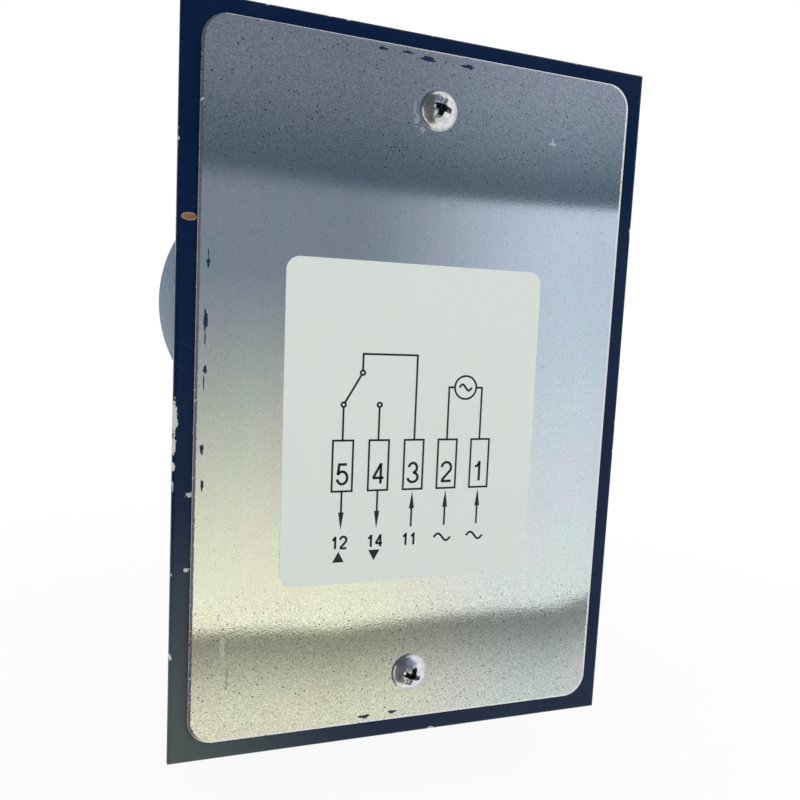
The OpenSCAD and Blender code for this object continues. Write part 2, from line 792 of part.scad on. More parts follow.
module motor_can() color("darkgray") at(rotor_x, 0) difference() {
    union() {
        rod(can_d, y_can, y_plate);
        rod(2 * brim_r, y_plate - brim_t, y_plate);
    }
    rod(can_d - 2 * can_t, y_can + can_t, y_plate + e);
    rod(arbor_d + 2 * run_gap, y_can - e, y_can + can_t + e);
    brim_holes() rod(brim_screw_d + 2 * screw_play, y_plate - brim_t - e, y_plate + e);
}

module motor_coil() color("chocolate") at(rotor_x, 0) tube(
    can_d - 2 * can_t - 2 * fit_gap, magnet_d + 2 * pole_gap,
    y_can + can_t + coil_end, y_plate - coil_end / 2
);

module motor_screws() color("silver") at(rotor_x, 0) brim_holes()
    slot_screw(brim_screw_d, y_plate - brim_t, brim_t + plate_t);

// Output shaft with the paddle

module output_shaft() color("gainsboro") {
    rod(pivot_d, y_plate, y_wheel - wheel_hub_t);
    rod(shaft_d, y_wheel - wheel_hub_t, y_socket - socket_end);
}

module output_wheel() color("goldenrod") difference() {
    union() {
        slab(y_wheel, y_wheel + wheel_t) wheel_shape();
        rod(1.6 * shaft_d, y_wheel - wheel_hub_t, y_wheel);
    }
    rod(shaft_d + 2 * fit_gap, y_wheel - wheel_hub_t - e, y_wheel + wheel_t + e);
}

module shaft_clip() color("silver") difference() {
    tube(1.8 * shaft_d, shaft_d + 2 * fit_gap, y_clip, y_clip + clip_t);
    translate([-shaft_d / 3, y_clip - e, 0]) cube([shaft_d / 1.5, clip_t + 2 * e, shaft_d]);
}

module hub_screws() for (k = [0.35, 0.75]) translate([0, y_socket + k * hub_slot_l, 0]) children();

module paddle_hub() color("silver") difference() {
    rod(hub_d, hub_gap, y_socket + hub_slot_l);
    rod(shaft_d + 2 * fit_gap, hub_gap - e, y_socket - socket_end);
    translate([-vane_t / 2 - fit_gap, y_socket, -hub_d])
        cube([vane_t + 2 * fit_gap, hub_slot_l + e, 2 * hub_d]);
    for (s = [-1, 1]) translate([s * (flat_x + hub_d / 2), y_socket + hub_slot_l / 2 + flat_start, 0])
        cube([hub_d, hub_slot_l, 2 * hub_d], center = true);
    hub_screws() translate([-hub_d, 0, 0]) rotate([0, 90, 0])
        cylinder(d = vane_screw_d + 2 * fit_gap, h = 2 * hub_d);
    translate([0, set_screw_y, 0]) cylinder(d = set_screw_d + 2 * fit_gap, h = hub_d);
}

module paddle_vane() color("silver") difference() {
    translate([-vane_t / 2, y_socket, 0]) rotate([90, 0, 90]) linear_extrude(vane_t) {
        translate([0, -vane_w / 2]) square([vane_l - vane_r, vane_w]);
        translate([0, -vane_w / 2 + vane_r]) square([vane_l, vane_w - 2 * vane_r]);
        for (s = [-1, 1]) translate([vane_l - vane_r, s * (vane_w / 2 - vane_r)]) circle(vane_r);
    }
    hub_screws() translate([-vane_t, 0, 0]) rotate([0, 90, 0])
        cylinder(d = vane_screw_d + 2 * screw_play, h = 2 * vane_t);
}

module paddle_screws() color("gainsboro") hub_screws() rotate([0, 90, 0]) {
    translate([0, 0, -flat_x]) cylinder(d = vane_screw_d, h = 2 * flat_x);
    translate([0, 0, -flat_x - vane_head_t]) cylinder(d = vane_head_d, h = vane_head_t);
}

module hub_set_screw() color("dimgray") translate([0, set_screw_y, shaft_d / 2 + fit_gap])
    cylinder(d = set_screw_d, h = (hub_d - shaft_d) / 2 - air);

// Idler and rotor

module idler_wheel() color("goldenrod") at(idler_x, idler_z) difference() {
    slab(y_wheel2, y_wheel2 + wheel_t) wheel_shape();
    rod(arbor_d + 2 * fit_gap, y_wheel2 - e, y_wheel2 + wheel_t + e);
}

module idler_arbor() color("silver") at(idler_x, idler_z) {
    rod(arbor_d, y_plate, y_unit);
    slab(y_pinion, y_pinion + pinion_l) pinion_shape();
}

module rotor_magnet() color("dimgray") at(rotor_x, 0)
    tube(magnet_d, arbor_d + 2 * fit_gap, y_can + can_t + magnet_end, y_plate - magnet_end);

module rotor_arbor() color("silver") at(rotor_x, 0) rod(arbor_d, y_can, y_unit);

module rotor_pinion() color("gold") at(rotor_x, 0) difference() {
    slab(y_pinion2, y_pinion2 + pinion_l) pinion_shape();
    rod(arbor_d + 2 * fit_gap, y_pinion2 - e, y_pinion2 + pinion_l + e);
}

housing();
cover_plate();
wiring_label();
cover_screws();
cover_nuts();
flange();
flange_studs();
flange_gasket();
ring_nut();
shaft_bushes();
shaft_seal();
base_plate();
base_rivets();
stop_posts();
spring_post();
return_spring();
switch_standoffs();
switch_body();
switch_screws();
switch_terminals();
switch_lever();
lever_pin();
switch_plunger();
terminal_block();
terminal_clamps();
terminal_screws();
block_screws();
gland_body();
gland_seal();
gland_cap();
gland_locknut();
gear_rear_plate();
gear_front_plate();
gear_spacers();
output_bearing();
trip_pin();
spring_pin();
motor_can();
motor_coil();
motor_screws();
output_shaft();
output_wheel();
shaft_clip();
paddle_hub();
paddle_vane();
paddle_screws();
hub_set_screw();
idler_wheel();
idler_arbor();
rotor_magnet();
rotor_arbor();
rotor_pinion();
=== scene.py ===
# %% [markdown]
# # A level switch, dressed for its portrait
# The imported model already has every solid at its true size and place. This lesson adds what a
# camera sees: worn enamel, galvanised sheet, print, threads and a soft studio. The frame is the
# one of the CAD part: X to the right and Z up as the cover is seen, Y away from the viewer.

# %% Load the frame
import json
import math

import bmesh
import bpy
import numpy as np
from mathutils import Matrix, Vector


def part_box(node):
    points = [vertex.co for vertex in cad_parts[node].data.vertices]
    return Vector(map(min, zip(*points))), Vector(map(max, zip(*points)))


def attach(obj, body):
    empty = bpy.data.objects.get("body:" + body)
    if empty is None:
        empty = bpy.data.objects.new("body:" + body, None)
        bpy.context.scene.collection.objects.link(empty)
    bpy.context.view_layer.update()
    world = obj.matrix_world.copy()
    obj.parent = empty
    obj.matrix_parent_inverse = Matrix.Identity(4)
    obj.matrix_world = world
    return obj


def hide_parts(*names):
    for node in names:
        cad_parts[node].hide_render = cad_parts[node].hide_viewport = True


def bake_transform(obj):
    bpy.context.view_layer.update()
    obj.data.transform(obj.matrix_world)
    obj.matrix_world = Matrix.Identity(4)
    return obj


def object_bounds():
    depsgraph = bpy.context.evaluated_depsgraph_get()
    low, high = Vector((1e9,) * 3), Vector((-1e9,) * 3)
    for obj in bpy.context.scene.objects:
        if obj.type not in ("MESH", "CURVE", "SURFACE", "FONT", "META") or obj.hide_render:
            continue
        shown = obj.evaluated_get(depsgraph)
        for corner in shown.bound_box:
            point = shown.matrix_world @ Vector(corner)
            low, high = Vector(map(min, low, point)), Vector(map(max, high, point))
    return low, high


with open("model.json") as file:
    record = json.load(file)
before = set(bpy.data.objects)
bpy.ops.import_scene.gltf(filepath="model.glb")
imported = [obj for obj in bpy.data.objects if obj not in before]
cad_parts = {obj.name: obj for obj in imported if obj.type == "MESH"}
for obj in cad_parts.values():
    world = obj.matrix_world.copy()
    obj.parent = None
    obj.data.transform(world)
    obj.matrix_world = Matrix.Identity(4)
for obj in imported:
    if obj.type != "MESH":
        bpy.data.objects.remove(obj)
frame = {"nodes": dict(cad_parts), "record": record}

MM = 0.001
cad_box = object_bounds()
nodes = frame["nodes"]
print("nodes in the frame:", len(nodes))

# %% [markdown]
# ## Sizes that are read from the frame
# A box of a node tells where its faces are, so nothing here is measured twice. Each node's
# lowest and highest corner come as arrays that numpy can work with.

# %% Boxes of the pieces that carry others


def corners(node):
    """Lowest and highest corner of a node as two arrays."""
    low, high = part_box(node)
    return np.array(low), np.array(high)


def middle(node):
    """Centre of a node's box: half the sum of its corners."""
    return sum(corners(node)) / 2


housing_low, housing_high = corners("housing")
housing_centre = middle("housing")
cover_low, cover_high = corners("cover_plate")
cover_face = cover_low[1]
label_face = corners("wiring_label")[0][1]
print("housing is", np.round((housing_high - housing_low) / MM, 1), "mm")

# %% [markdown]
# ## Camera
# The camera stands close, a little left of the middle, and looks right and slightly down.
# Turning a level view by yaw and pitch gives the line of sight, and a small roll tips the frame.
# Building the three axes by hand keeps the result free of any order of rotations.

# %% Place the camera
CAMERA_AT = np.array([-32.23, -207.11, -5.31]) * MM
YAW, PITCH, ROLL = np.radians([18.3116, -5.6112, 2.8606])
LENS_MM = 31.23
SENSOR_MM = 36.0


def put(name, data):
    """A new object at the origin, linked to the scene."""
    obj = bpy.data.objects.new(name, data)
    bpy.context.scene.collection.objects.link(obj)
    return obj


def aim(obj, side, upright, ahead, at):
    """Turn and place a camera or a lamp: its columns are right, up, backwards and its place."""
    pose = np.eye(4)
    pose[:3] = np.stack([side, upright, -ahead, at], axis=1)
    obj.matrix_world = pose.T.tolist()


forward = np.array([
    math.sin(YAW) * math.cos(PITCH),
    math.cos(YAW) * math.cos(PITCH),
    math.sin(PITCH),
])
level = np.array([math.cos(YAW), -math.sin(YAW), 0.0])
upright = np.cross(level, forward)
rolled_side = math.cos(ROLL) * level + math.sin(ROLL) * upright
rolled_up = math.cos(ROLL) * upright - math.sin(ROLL) * level

camera_data = bpy.data.cameras.new("camera")
camera_data.lens = LENS_MM
camera_data.sensor_width = SENSOR_MM
camera_data.clip_start = 0.01
camera = put("camera", camera_data)
aim(camera, rolled_side, rolled_up, forward, CAMERA_AT)
bpy.context.scene.camera = camera
print("camera looks along", np.round(forward, 3))

# %% [markdown]
# ## Meshes from arrays
# Every new piece is a grid of points that a formula fills as a whole array. Neighbours on the
# grid become quads. Where a row shrinks to one point, as at a pole, its doubles are merged, and
# the faces are then turned outwards. That one habit makes every piece closed and clean.

# %% Grids, joined grids and finished pieces
SHARP_ANGLE = math.radians(38)
NEAR = 1e-6


def grid_faces(rows, columns, wrap_rows=False, wrap_columns=True):
    """Quads on a grid: corner (i, j), then one row on, one row and column on, one column on."""
    i = np.arange(rows if wrap_rows else rows - 1)
    j = np.arange(columns if wrap_columns else columns - 1)
    i, j = np.meshgrid(i, j, indexing="ij")
    after_i = (i + 1) % rows
    after_j = (j + 1) % columns
    quads = [i * columns + j, after_i * columns + j, after_i * columns + after_j, i * columns + after_j]
    return np.stack(quads, axis=-1).reshape(-1, 4)


def grid(rows, **wraps):
    """Points and quads of an array of rows by columns by three."""
    return rows.reshape(-1, 3), grid_faces(*rows.shape[:2], **wraps)


def joined(parts):
    """Several meshes as one: each one's corner numbers are raised by the points before it."""
    starts = np.cumsum([0] + [len(points) for points, _ in parts[:-1]])
    points = np.vstack([points for points, _ in parts])
    faces = np.vstack([faces + start for (_, faces), start in zip(parts, starts)])
    return points, faces


def piece(name, parts, body, material, replaced=(), smooth=True, fill_at=()):
    """A mesh object from grids, closed, facing outwards, riding on a body.

    fill_at lists depths along Y at which open borders are closed by a flat face with holes.
    """
    points, faces = joined(parts)
    mesh = bpy.data.meshes.new(name)
    mesh.vertices.add(len(points))
    mesh.vertices.foreach_set("co", points.ravel())
    mesh.loops.add(faces.size)
    mesh.loops.foreach_set("vertex_index", faces.ravel())
    mesh.polygons.add(len(faces))
    mesh.polygons.foreach_set("loop_start", np.arange(0, faces.size, 4))
    mesh.update(calc_edges=True)
    solid = bmesh.new()
    solid.from_mesh(mesh)
    for depth in fill_at:
        border = [edge for edge in solid.edges if edge.is_boundary and abs(edge.verts[0].co.y - depth) < NEAR]
        bmesh.ops.triangle_fill(solid, edges=border, use_beauty=True)
    bmesh.ops.remove_doubles(solid, verts=solid.verts, dist=NEAR / 10)
    bmesh.ops.recalc_face_normals(solid, faces=solid.faces)
    solid.to_mesh(mesh)
    solid.free()
    mesh.polygons.foreach_set("use_smooth", np.full(len(mesh.polygons), smooth))
    if smooth:
        mesh.set_sharp_from_angle(angle=SHARP_ANGLE)
    mesh.materials.append(material)
    obj = put(name, mesh)
    if body:
        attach(obj, body)
    if replaced:
        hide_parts(*replaced)
    print(name, "has", len(mesh.polygons), "faces")
    return obj


print("a grid of 3 by 4 points has", len(grid_faces(3, 4)), "faces when its columns close")

# %% Turned bodies and round wire


def full_turn(sides):
    """The angles of a circle's points."""
    return np.linspace(0, 2 * np.pi, sides, endpoint=False)


def circle(x, z, radius, sides):
    """Points of a circle in a plane: centre plus radius times cosine and sine."""
    turn = full_turn(sides)
    return np.stack([x + radius * np.cos(turn), z + radius * np.sin(turn)], axis=1)


def turned(radius, height, at, sides):
    """A body turned round Y: at each height the radius is swung round the axis.

    radius and height have a row per ring, with one value or one per side, in metres.
    """
    radius = np.broadcast_to(radius, (len(radius), sides))
    turn = full_turn(sides)
    rows = np.stack([radius * np.cos(turn), height + 0 * radius, radius * np.sin(turn)], axis=-1)
    return grid(rows + np.asarray(at))


def tube(path, side, radius, sides):
    """Round wire: at each point of the path a circle stands across it.

    side is a direction per point that the wire doesn't run along; the circle's first axis is
    side with its part along the path taken away, and its second is their cross product.
    """
    along = np.gradient(path, axis=0)
    along /= np.linalg.norm(along, axis=1, keepdims=True)
    first = side - along * np.sum(side * along, axis=1, keepdims=True)
    first /= np.linalg.norm(first, axis=1, keepdims=True)
    second = np.cross(along, first)
    turn = full_turn(sides)[None, :, None]
    rows = path[:, None] + radius * (np.cos(turn) * first[:, None] + np.sin(turn) * second[:, None])
    cap = np.repeat(path[[0, -1]][:, None], sides, axis=1)
    return grid(np.concatenate([cap[:1], rows, cap[1:]]))


print("eight points of a circle are", round(math.degrees(full_turn(8)[1])), "degrees apart")

# %% [markdown]
# ## A bench for materials
# A finish is a Principled shader with a few layers of noise in front of it. A signal is a value
# that varies over the surface. Reckoning with signals adds the Math nodes by itself, so that a
# formula for roughness or relief reads like one.

# %% Signals and nodes


class Signal:
    """The output of a node, with the tree it is in. Its arithmetic adds Math nodes."""

    def __init__(self, tree, socket):
        self.tree = tree
        self.socket = socket

    def __add__(self, other):
        return calc("ADD", self, other)

    def __sub__(self, other):
        return calc("SUBTRACT", self, other)

    def __rsub__(self, other):
        return calc("SUBTRACT", other, self)

    def __mul__(self, other):
        return calc("MULTIPLY", self, other)

    def __truediv__(self, other):
        return calc("DIVIDE", self, other)

    def __rtruediv__(self, other):
        return calc("DIVIDE", other, self)

    def __abs__(self):
        return calc("ABSOLUTE", self)


def plug(tree, socket, source):
    """Feed a socket from a signal, or set it to a number, a vector or a colour."""
    if isinstance(source, Signal):
        tree.links.new(source.socket, socket)
    else:
        socket.default_value = source


def add(tree, kind, output=0, feeds=None, **settings):
    """One output of a new shader node, or several of them where output is a tuple."""
    node = tree.nodes.new("ShaderNode" + kind)
    for key, value in settings.items():
        setattr(node, key, value)
    for name, source in (feeds or {}).items():
        plug(tree, node.inputs[name], source)
    if isinstance(output, tuple):
        return [Signal(tree, node.outputs[name]) for name in output]
    return Signal(tree, node.outputs[output])


def tree_of(terms):
    """The tree that the first signal among some terms is in."""
    return next(term.tree for term in terms if isinstance(term, Signal))


def calc(operation, *terms):
    """One step of arithmetic on signals and numbers."""
    return add(tree_of(terms), "Math", 0, dict(enumerate(terms)), operation=operation)


def larger(first, second):
    """The larger of two values."""
    return calc("MAXIMUM", first, second)


def vector(operation, *terms):
    """One step of arithmetic on places; the length of one is a number."""
    output = "Value" if operation in ("LENGTH", "DISTANCE") else 0
    return add(tree_of(terms), "VectorMath", output, dict(enumerate(terms)), operation=operation)


def split(signal, kind="XYZ"):
    """The three parts of a place or a colour."""
    return add(signal.tree, "Separate" + kind, (0, 1, 2), {0: signal})


def ramp(signal, low, high, start=0.0, end=1.0, curve="SMOOTHSTEP"):
    """From start to end while the signal goes from low to high, and held outside."""
    feeds = {"Value": signal, "From Min": low, "From Max": high, "To Min": start, "To Max": end}
    return add(signal.tree, "MapRange", 0, feeds, interpolation_type=curve)


def layered(colour, *layers):
    """A colour with other colours laid over it, each as far as its own signal says."""
    for share, layer in layers:
        under, over = [part if isinstance(part, Signal) else (*part, 1.0) for part in (colour, layer)]
        colour = add(share.tree, "Mix", 2, {0: share, 6: under, 7: over}, data_type="RGBA")
    return colour


def place_in(tree):
    """The place on the surface, in metres of the frame."""
    return add(tree, "TexCoord", "Object")


print("signals are ready: + - * / and abs each add a Math node")

# %% Groups and finishes


def new_group(name, **inputs):
    """A node group with named numbers or vectors as inputs, those inputs, and the place."""
    tree = bpy.data.node_groups.new(name, "ShaderNodeTree")
    for label, value in inputs.items():
        kind = "NodeSocketVector" if isinstance(value, tuple) else "NodeSocketFloat"
        socket = tree.interface.new_socket(label, in_out="INPUT", socket_type=kind)
        socket.default_value = value
    tree.interface.new_socket("Value", in_out="OUTPUT", socket_type="NodeSocketFloat")
    start = tree.nodes.new("NodeGroupInput")
    given = {label: Signal(tree, start.outputs[label]) for label in inputs}
    return tree, given, place_in(tree)


def end_group(tree, value):
    """Send a value to the group's one output."""
    plug(tree, tree.nodes.new("NodeGroupOutput").inputs["Value"], value)
    print("group:", tree.name)


def use(tree, group, **feeds):
    """A group placed in a material with its own values."""
    return add(tree, "Group", "Value", feeds, node_tree=group)


def new_finish(name):
    """A material with an empty Principled shader, and its tree."""
    material = bpy.data.materials.new(name)
    material.use_nodes = True
    return material, material.node_tree


def feed_shader(material, colour, rough, height, bump, metallic=0.0):
    """Plug a finish into its shader, with the height as a relief of so many millimetres."""
    tree = material.node_tree
    sockets = tree.nodes["Principled BSDF"].inputs
    relief = add(tree, "Bump", 0, {"Height": height, "Distance": bump * MM})
    feeds = {"Base Color": colour, "Roughness": rough, "Metallic": metallic, "Normal": relief}
    for name, source in feeds.items():
        plug(tree, sockets[name], source)
    return material


print("node groups so far:", len(bpy.data.node_groups))

# %% [markdown]
# ## Effects that finishes share
# Metal, paint and plastic differ in colour, but all of them have grain, blotches, scratches and
# rubbed edges. Each effect is one node group that reads Object coordinates in metres, so a scale
# of 1000 is a pattern of about a millimetre.

# %% Grain and blotches
grain, given, place = new_group(
    "soft grain", Scale=1000.0, Detail=2.0, Stretch=(1.0, 1.0, 1.0), Low=0.35, High=0.65
)
stretched = vector("MULTIPLY", place, given["Stretch"])
feeds = {"Vector": stretched, "Scale": given["Scale"], "Detail": given["Detail"]}
end_group(grain, ramp(add(grain, "TexNoise", 0, feeds), given["Low"], given["High"]))

# %% [markdown]
# ### Scratches
# Handling leaves fine lines that run every way. The place is bent a little by noise, turned three
# ways and cut into long cells; a few of the cells, picked by chance, hold a line that tapers at
# both ends. Such lines need no drawing, and chance keeps them from repeating.

# %% Scratches that run every way
scratches, given, place = new_group(
    "hairline scratches", Spacing=0.004, Length=0.012, Thin=0.00006, Amount=0.2
)
drift = add(scratches, "TexNoise", "Color", {"Vector": place, "Scale": 60.0})
bent = vector("ADD", place, vector("MULTIPLY", drift, (0.0012, 0.0012, 0.0012)))
cell_size = add(scratches, "CombineXYZ", 0, {0: given["Spacing"], 1: given["Length"], 2: given["Length"]})
total = 0.0
for tilt in ((0.4, 0.7, 0.2), (1.3, 0.2, 1.1), (2.2, 1.4, 0.5)):
    cells = vector("DIVIDE", add(scratches, "Mapping", 0, {"Vector": bent, "Rotation": tilt}), cell_size)
    corner = vector("FLOOR", cells)
    across, along, _ = split(vector("SUBTRACT", cells, corner))
    where, luck, reach = split(add(scratches, "TexWhiteNoise", "Color", {"Vector": corner}), "Color")
    away = abs(across - (where * 0.7 + 0.15)) * given["Spacing"]
    line = ramp(away, 0.0, given["Thin"], 1.0, 0.0, curve="LINEAR")
    taper = ramp(abs(along - 0.5), reach * 0.3 + 0.15, 0.0, curve="LINEAR")
    total = larger(total, line * taper * calc("LESS_THAN", luck, given["Amount"]))
end_group(scratches, total)

# %% [markdown]
# ### Rubbed edges and turned rings
# Paint and zinc go first along the edges of a box. Seen from its centre, a place near an edge is
# near two faces at once, so the second largest of its three distances tells how near the edge
# is, and noise breaks the border up. A turned face has rings: noise that only knows the radius.

# %% Rubbed edges of a box
edges, given, place = new_group(
    "rubbed edges", Centre=(0.0, 0.0, 0.0), Half=(0.01, 0.01, 0.01), Width=0.001, Breakup=900.0
)
away = vector("ABSOLUTE", vector("SUBTRACT", place, given["Centre"]))
from_x, from_y, from_z = split(vector("SUBTRACT", away, given["Half"]))
low_pair = calc("MINIMUM", from_x, from_y)
second = larger(low_pair, calc("MINIMUM", larger(from_x, from_y), from_z))
noise = add(edges, "TexNoise", 0, {"Vector": place, "Scale": given["Breakup"], "Detail": 3.0})
near = second + (noise - 0.62) * (given["Width"] * 5.0)
end_group(edges, ramp(near, given["Width"] * -0.35, 0.0, curve="LINEAR"))

# %% Rings left by turning
rings, given, place = new_group("turned rings", Centre=(0.0, 0.0, 0.0), Pitch=0.0004)
away = vector("MULTIPLY", vector("SUBTRACT", place, given["Centre"]), (1.0, 0.0, 1.0))
steps = vector("LENGTH", away) / given["Pitch"]
feeds = {"W": steps, "Scale": 1.0, "Detail": 2.0}
end_group(rings, add(rings, "TexNoise", 0, feeds, noise_dimensions="1D"))

# %% [markdown]
# ### Single marks and pepper
# A chip or a smudge is an ellipsoid at a given place: the distance from its centre, in units of
# its half size, is one on the border, and noise makes the border ragged. Zinc from the bath also
# holds dark specks like pepper, one in each cell of a Voronoi pattern and each of its own size.

# %% One mark at a given place
mark, given, place = new_group(
    "one mark", Centre=(0.0, 0.0, 0.0), Half=(0.001, 0.001, 0.001), Ragged=0.3, Breakup=1500.0
)
away = vector("DIVIDE", vector("SUBTRACT", place, given["Centre"]), given["Half"])
noise = add(mark, "TexNoise", 0, {"Vector": place, "Scale": given["Breakup"], "Detail": 3.0})
reach = vector("LENGTH", away) + (noise - 0.5) * (given["Ragged"] * 4.0)
end_group(mark, ramp(reach, 1.1, 0.9, curve="LINEAR"))

# %% Pepper: tiny dark dots
pepper, given, place = new_group("pepper dots", Cell=0.0009, Radius=0.00022)
feeds = {"Vector": place, "Scale": 1.0 / given["Cell"]}
away, chance = add(pepper, "TexVoronoi", ("Distance", "Color"), feeds)
limit = split(chance, "Color")[0] * given["Radius"]
inside = 1.0 - away * given["Cell"] / larger(limit, 1e-6)
end_group(pepper, ramp(inside, 0.0, 1 / 3, curve="LINEAR"))

# %% [markdown]
# ## Finishes of metal
# One recipe makes every bare metal of the switch. Broad blotches and fine grain move the colour
# between a clean and a dull tone, the same grain roughens the shine, and a bump from grain and
# rings or streaks breaks up what the metal mirrors. Only the numbers tell zinc from brass.

# %% The recipe for bare metal
BLOTCH_MM = 3.0


def metal_finish(name, clean, dull, shine, grain_mm, bump, metallic=1.0, stretch=(1, 1, 1),
                 ring_at=None, scratch=0.15):
    """Bare metal: clean and dull tones, roughness from shine to shine plus 0.12, a fine bump."""
    material, tree = new_finish(name)
    fine = use(tree, grain, Scale=1000.0 / grain_mm, Stretch=stretch, Low=0.3, High=0.7)
    broad = use(tree, grain, Scale=1000.0 / BLOTCH_MM, Detail=4.0, Low=0.38, High=0.72)
    lines = use(tree, scratches, Amount=scratch)
    shade = fine * 0.4 + broad * 0.3
    bright = tuple(min(1.0, part * 1.35) for part in clean)
    colour = layered(clean, (shade, dull), (lines * 0.6, bright))
    height = fine - lines * 0.8
    if ring_at is not None:
        height = height + use(tree, rings, Centre=ring_at) * 1.6
    return feed_shader(material, colour, shade * 0.17 + shine, height, bump, metallic)


# By slot: name, clean colour, dull colour, shine, grain and bump in millimetres, metallic
METALS = {
    "zinc_screw": ("bright_zinc", (0.70, 0.72, 0.74), (0.30, 0.30, 0.29), 0.20, 0.25, 0.012),
    "zinc_steel": ("dull_zinc", (0.60, 0.63, 0.68), (0.42, 0.44, 0.47), 0.30, 0.5, 0.012),
    "stainless": ("stainless", (0.60, 0.59, 0.57), (0.42, 0.41, 0.39), 0.24, 0.2, 0.008),
    "dark_steel": ("black_oxide", (0.07, 0.07, 0.075), (0.03, 0.03, 0.03), 0.34, 0.3, 0.010),
    "brass": ("brass", (0.74, 0.53, 0.22), (0.46, 0.30, 0.12), 0.24, 0.3, 0.008),
    "bronze": ("sintered_bronze", (0.50, 0.33, 0.18), (0.22, 0.14, 0.08), 0.42, 0.12, 0.03),
    "magnet": ("ferrite", (0.10, 0.10, 0.11), (0.045, 0.045, 0.05), 0.5, 0.15, 0.02, 0.25),
}
metals = {slot: metal_finish(*numbers) for slot, numbers in METALS.items()}
print("metal finishes:", ", ".join(metals))

# %% [markdown]
# ## Finishes of plastic and rubber
# Moulded pieces hold their colour but not their shine: the mould's texture, dust in the
# corners and a few rubs vary it. The recipe is the metal's without the metal.

# %% The recipe for moulded pieces


def moulded_finish(name, clean, dusty, shine, grain_mm, bump, scratch=0.12):
    """Plastic or rubber: clean colour with dusty blotches, a moulded texture as bump."""
    material, tree = new_finish(name)
    fine = use(tree, grain, Scale=1000.0 / grain_mm, Low=0.3, High=0.7)
    broad = use(tree, grain, Scale=90.0, Detail=5.0, Low=0.42, High=0.75)
    lines = use(tree, scratches, Amount=scratch)
    dust = broad * (fine * 0.6 + 0.4)
    colour = layered(clean, (dust * 0.6, dusty), (lines * 0.25, dusty))
    return feed_shader(material, colour, dust * 0.25 + shine, fine, bump)


# By slot: name, clean colour, dusty colour, shine, grain and bump in millimetres
MOULDINGS = {
    "gasket_rubber": ("gasket_sheet", (0.035, 0.035, 0.037), (0.12, 0.115, 0.11), 0.62, 0.4, 0.03),
    "rubber": ("seal_rubber", (0.018, 0.018, 0.019), (0.07, 0.068, 0.065), 0.5, 0.35, 0.015),
    "switch_plastic": ("phenolic", (0.022, 0.021, 0.02), (0.10, 0.095, 0.09), 0.35, 0.5, 0.01),
    "plunger_plastic": ("plunger_red", (0.42, 0.035, 0.025), (0.5, 0.2, 0.16), 0.3, 0.5, 0.005),
    "block_plastic": ("melamine", (0.62, 0.58, 0.48), (0.42, 0.38, 0.30), 0.36, 0.6, 0.01),
    "gland_plastic": ("polyamide", (0.09, 0.095, 0.10), (0.2, 0.2, 0.195), 0.4, 0.3, 0.012),
    "coil_winding": ("varnished_winding", (0.32, 0.12, 0.045), (0.16, 0.06, 0.03), 0.28, 0.3, 0.04),
}
mouldings = {slot: moulded_finish(*numbers) for slot, numbers in MOULDINGS.items()}
print("moulded finishes:", ", ".join(mouldings))

# %% [markdown]
# ## Navy enamel
# The box is stove enamelled, smooth with a faint orange peel. Its edges were rubbed in the tool
# box down to a pale primer, and a chip on the rim shows rust with a pale border. A painted sheen
# lightens the lower left of the rim. The edge group finds the box's edges from its centre and half size, and
# the larger nicks are single marks.

# %% Enamel of the housing
NAVY = (0.0012, 0.0122, 0.050)
PRIMER = (0.60, 0.62, 0.63)
# Painted sheen: the lighter colour that the lower left of the rim takes
PAINTED_SHEEN = (0.100, 0.127, 0.118)
RIM_CHIP = (-29.66, 14.29)
# Place along X and Z, then half the width and half the height, in millimetres
RIM_NICKS = [
    (-31.7, -24.0, 0.55, 3.2), (-31.7, -29.5, 0.45, 1.6), (-31.8, -33.5, 0.35, 0.8),
    (-31.8, -72.0, 0.3, 0.7), (-28.6, -39.1, 0.75, 0.45), (-28.9, -54.2, 0.5, 0.4),
    (25.0, -94.6, 0.9, 0.35), (67.7, 20.0, 0.3, 1.4), (67.8, -31.0, 0.3, 0.7),
]


def spot(tree, x, z, half_x, half_z, y, ragged, half_y=1.0, breakup=1500.0):
    """One mark on a face at depth y; its place and half size are in millimetres."""
    half = (half_x * MM, half_y * MM, half_z * MM)
    return use(tree, mark, Centre=(x * MM, y, z * MM), Half=half, Ragged=ragged, Breakup=breakup)


def rubbed(tree, node, width, breakup):
    """Rubbed edges of a node's box."""
    low, high = corners(node)
    centre, half = tuple((low + high) / 2), tuple((high - low) / 2)
    return use(tree, edges, Centre=centre, Half=half, Width=width, Breakup=breakup)


def enamel_finish(name):
    """Gloss paint with orange peel, a painted sheen on the lower left, hairline scratches, rubbed edges and
    chips.
    """
    material, tree = new_finish(name)
    peel = use(tree, grain, Scale=900.0, Detail=1.0, Low=0.2, High=0.8)
    dust = use(tree, grain, Scale=60.0, Detail=5.0, Low=0.5, High=0.85)
    lines = use(tree, scratches, Amount=0.10)
    worn = rubbed(tree, "housing", 0.0006, 420.0)
    for nick in RIM_NICKS:
        worn = larger(worn, spot(tree, *nick, housing_low[1], 0.5, breakup=1800.0))
    chip_rim = spot(tree, *RIM_CHIP, 1.35, 0.72, housing_low[1], 0.12)
    chip_core = spot(tree, *RIM_CHIP, 1.24, 0.60, housing_low[1], 0.25)
    across, _, up = split(place_in(tree))
    # Painted sheen: lighter towards the bottom and the left of the rim, broken up a little by the dust
    # blotches
    film = ramp(up, -0.036, -0.090) * (ramp(across, 0.012, -0.036) * 0.88 + 0.12)
    colour = layered(
        NAVY,
        (dust * 0.12, (0.03, 0.045, 0.075)),
        (lines * 0.35, (0.12, 0.15, 0.2)),
        # painted sheen on the lower left
        (film * (dust * 0.22 + 0.80), PAINTED_SHEEN),
        (worn, PRIMER),
        (chip_rim, (0.50, 0.40, 0.31)),
        (chip_core, (0.26, 0.12, 0.06)),
    )
    bare = larger(worn, chip_rim)
    rough = bare * 0.4 + (dust * 0.10 + 0.14)
    tree.nodes["Principled BSDF"].inputs["Specular IOR Level"].default_value = 0.16
    return feed_shader(material, colour, rough, peel * 0.12 - bare, 0.03)


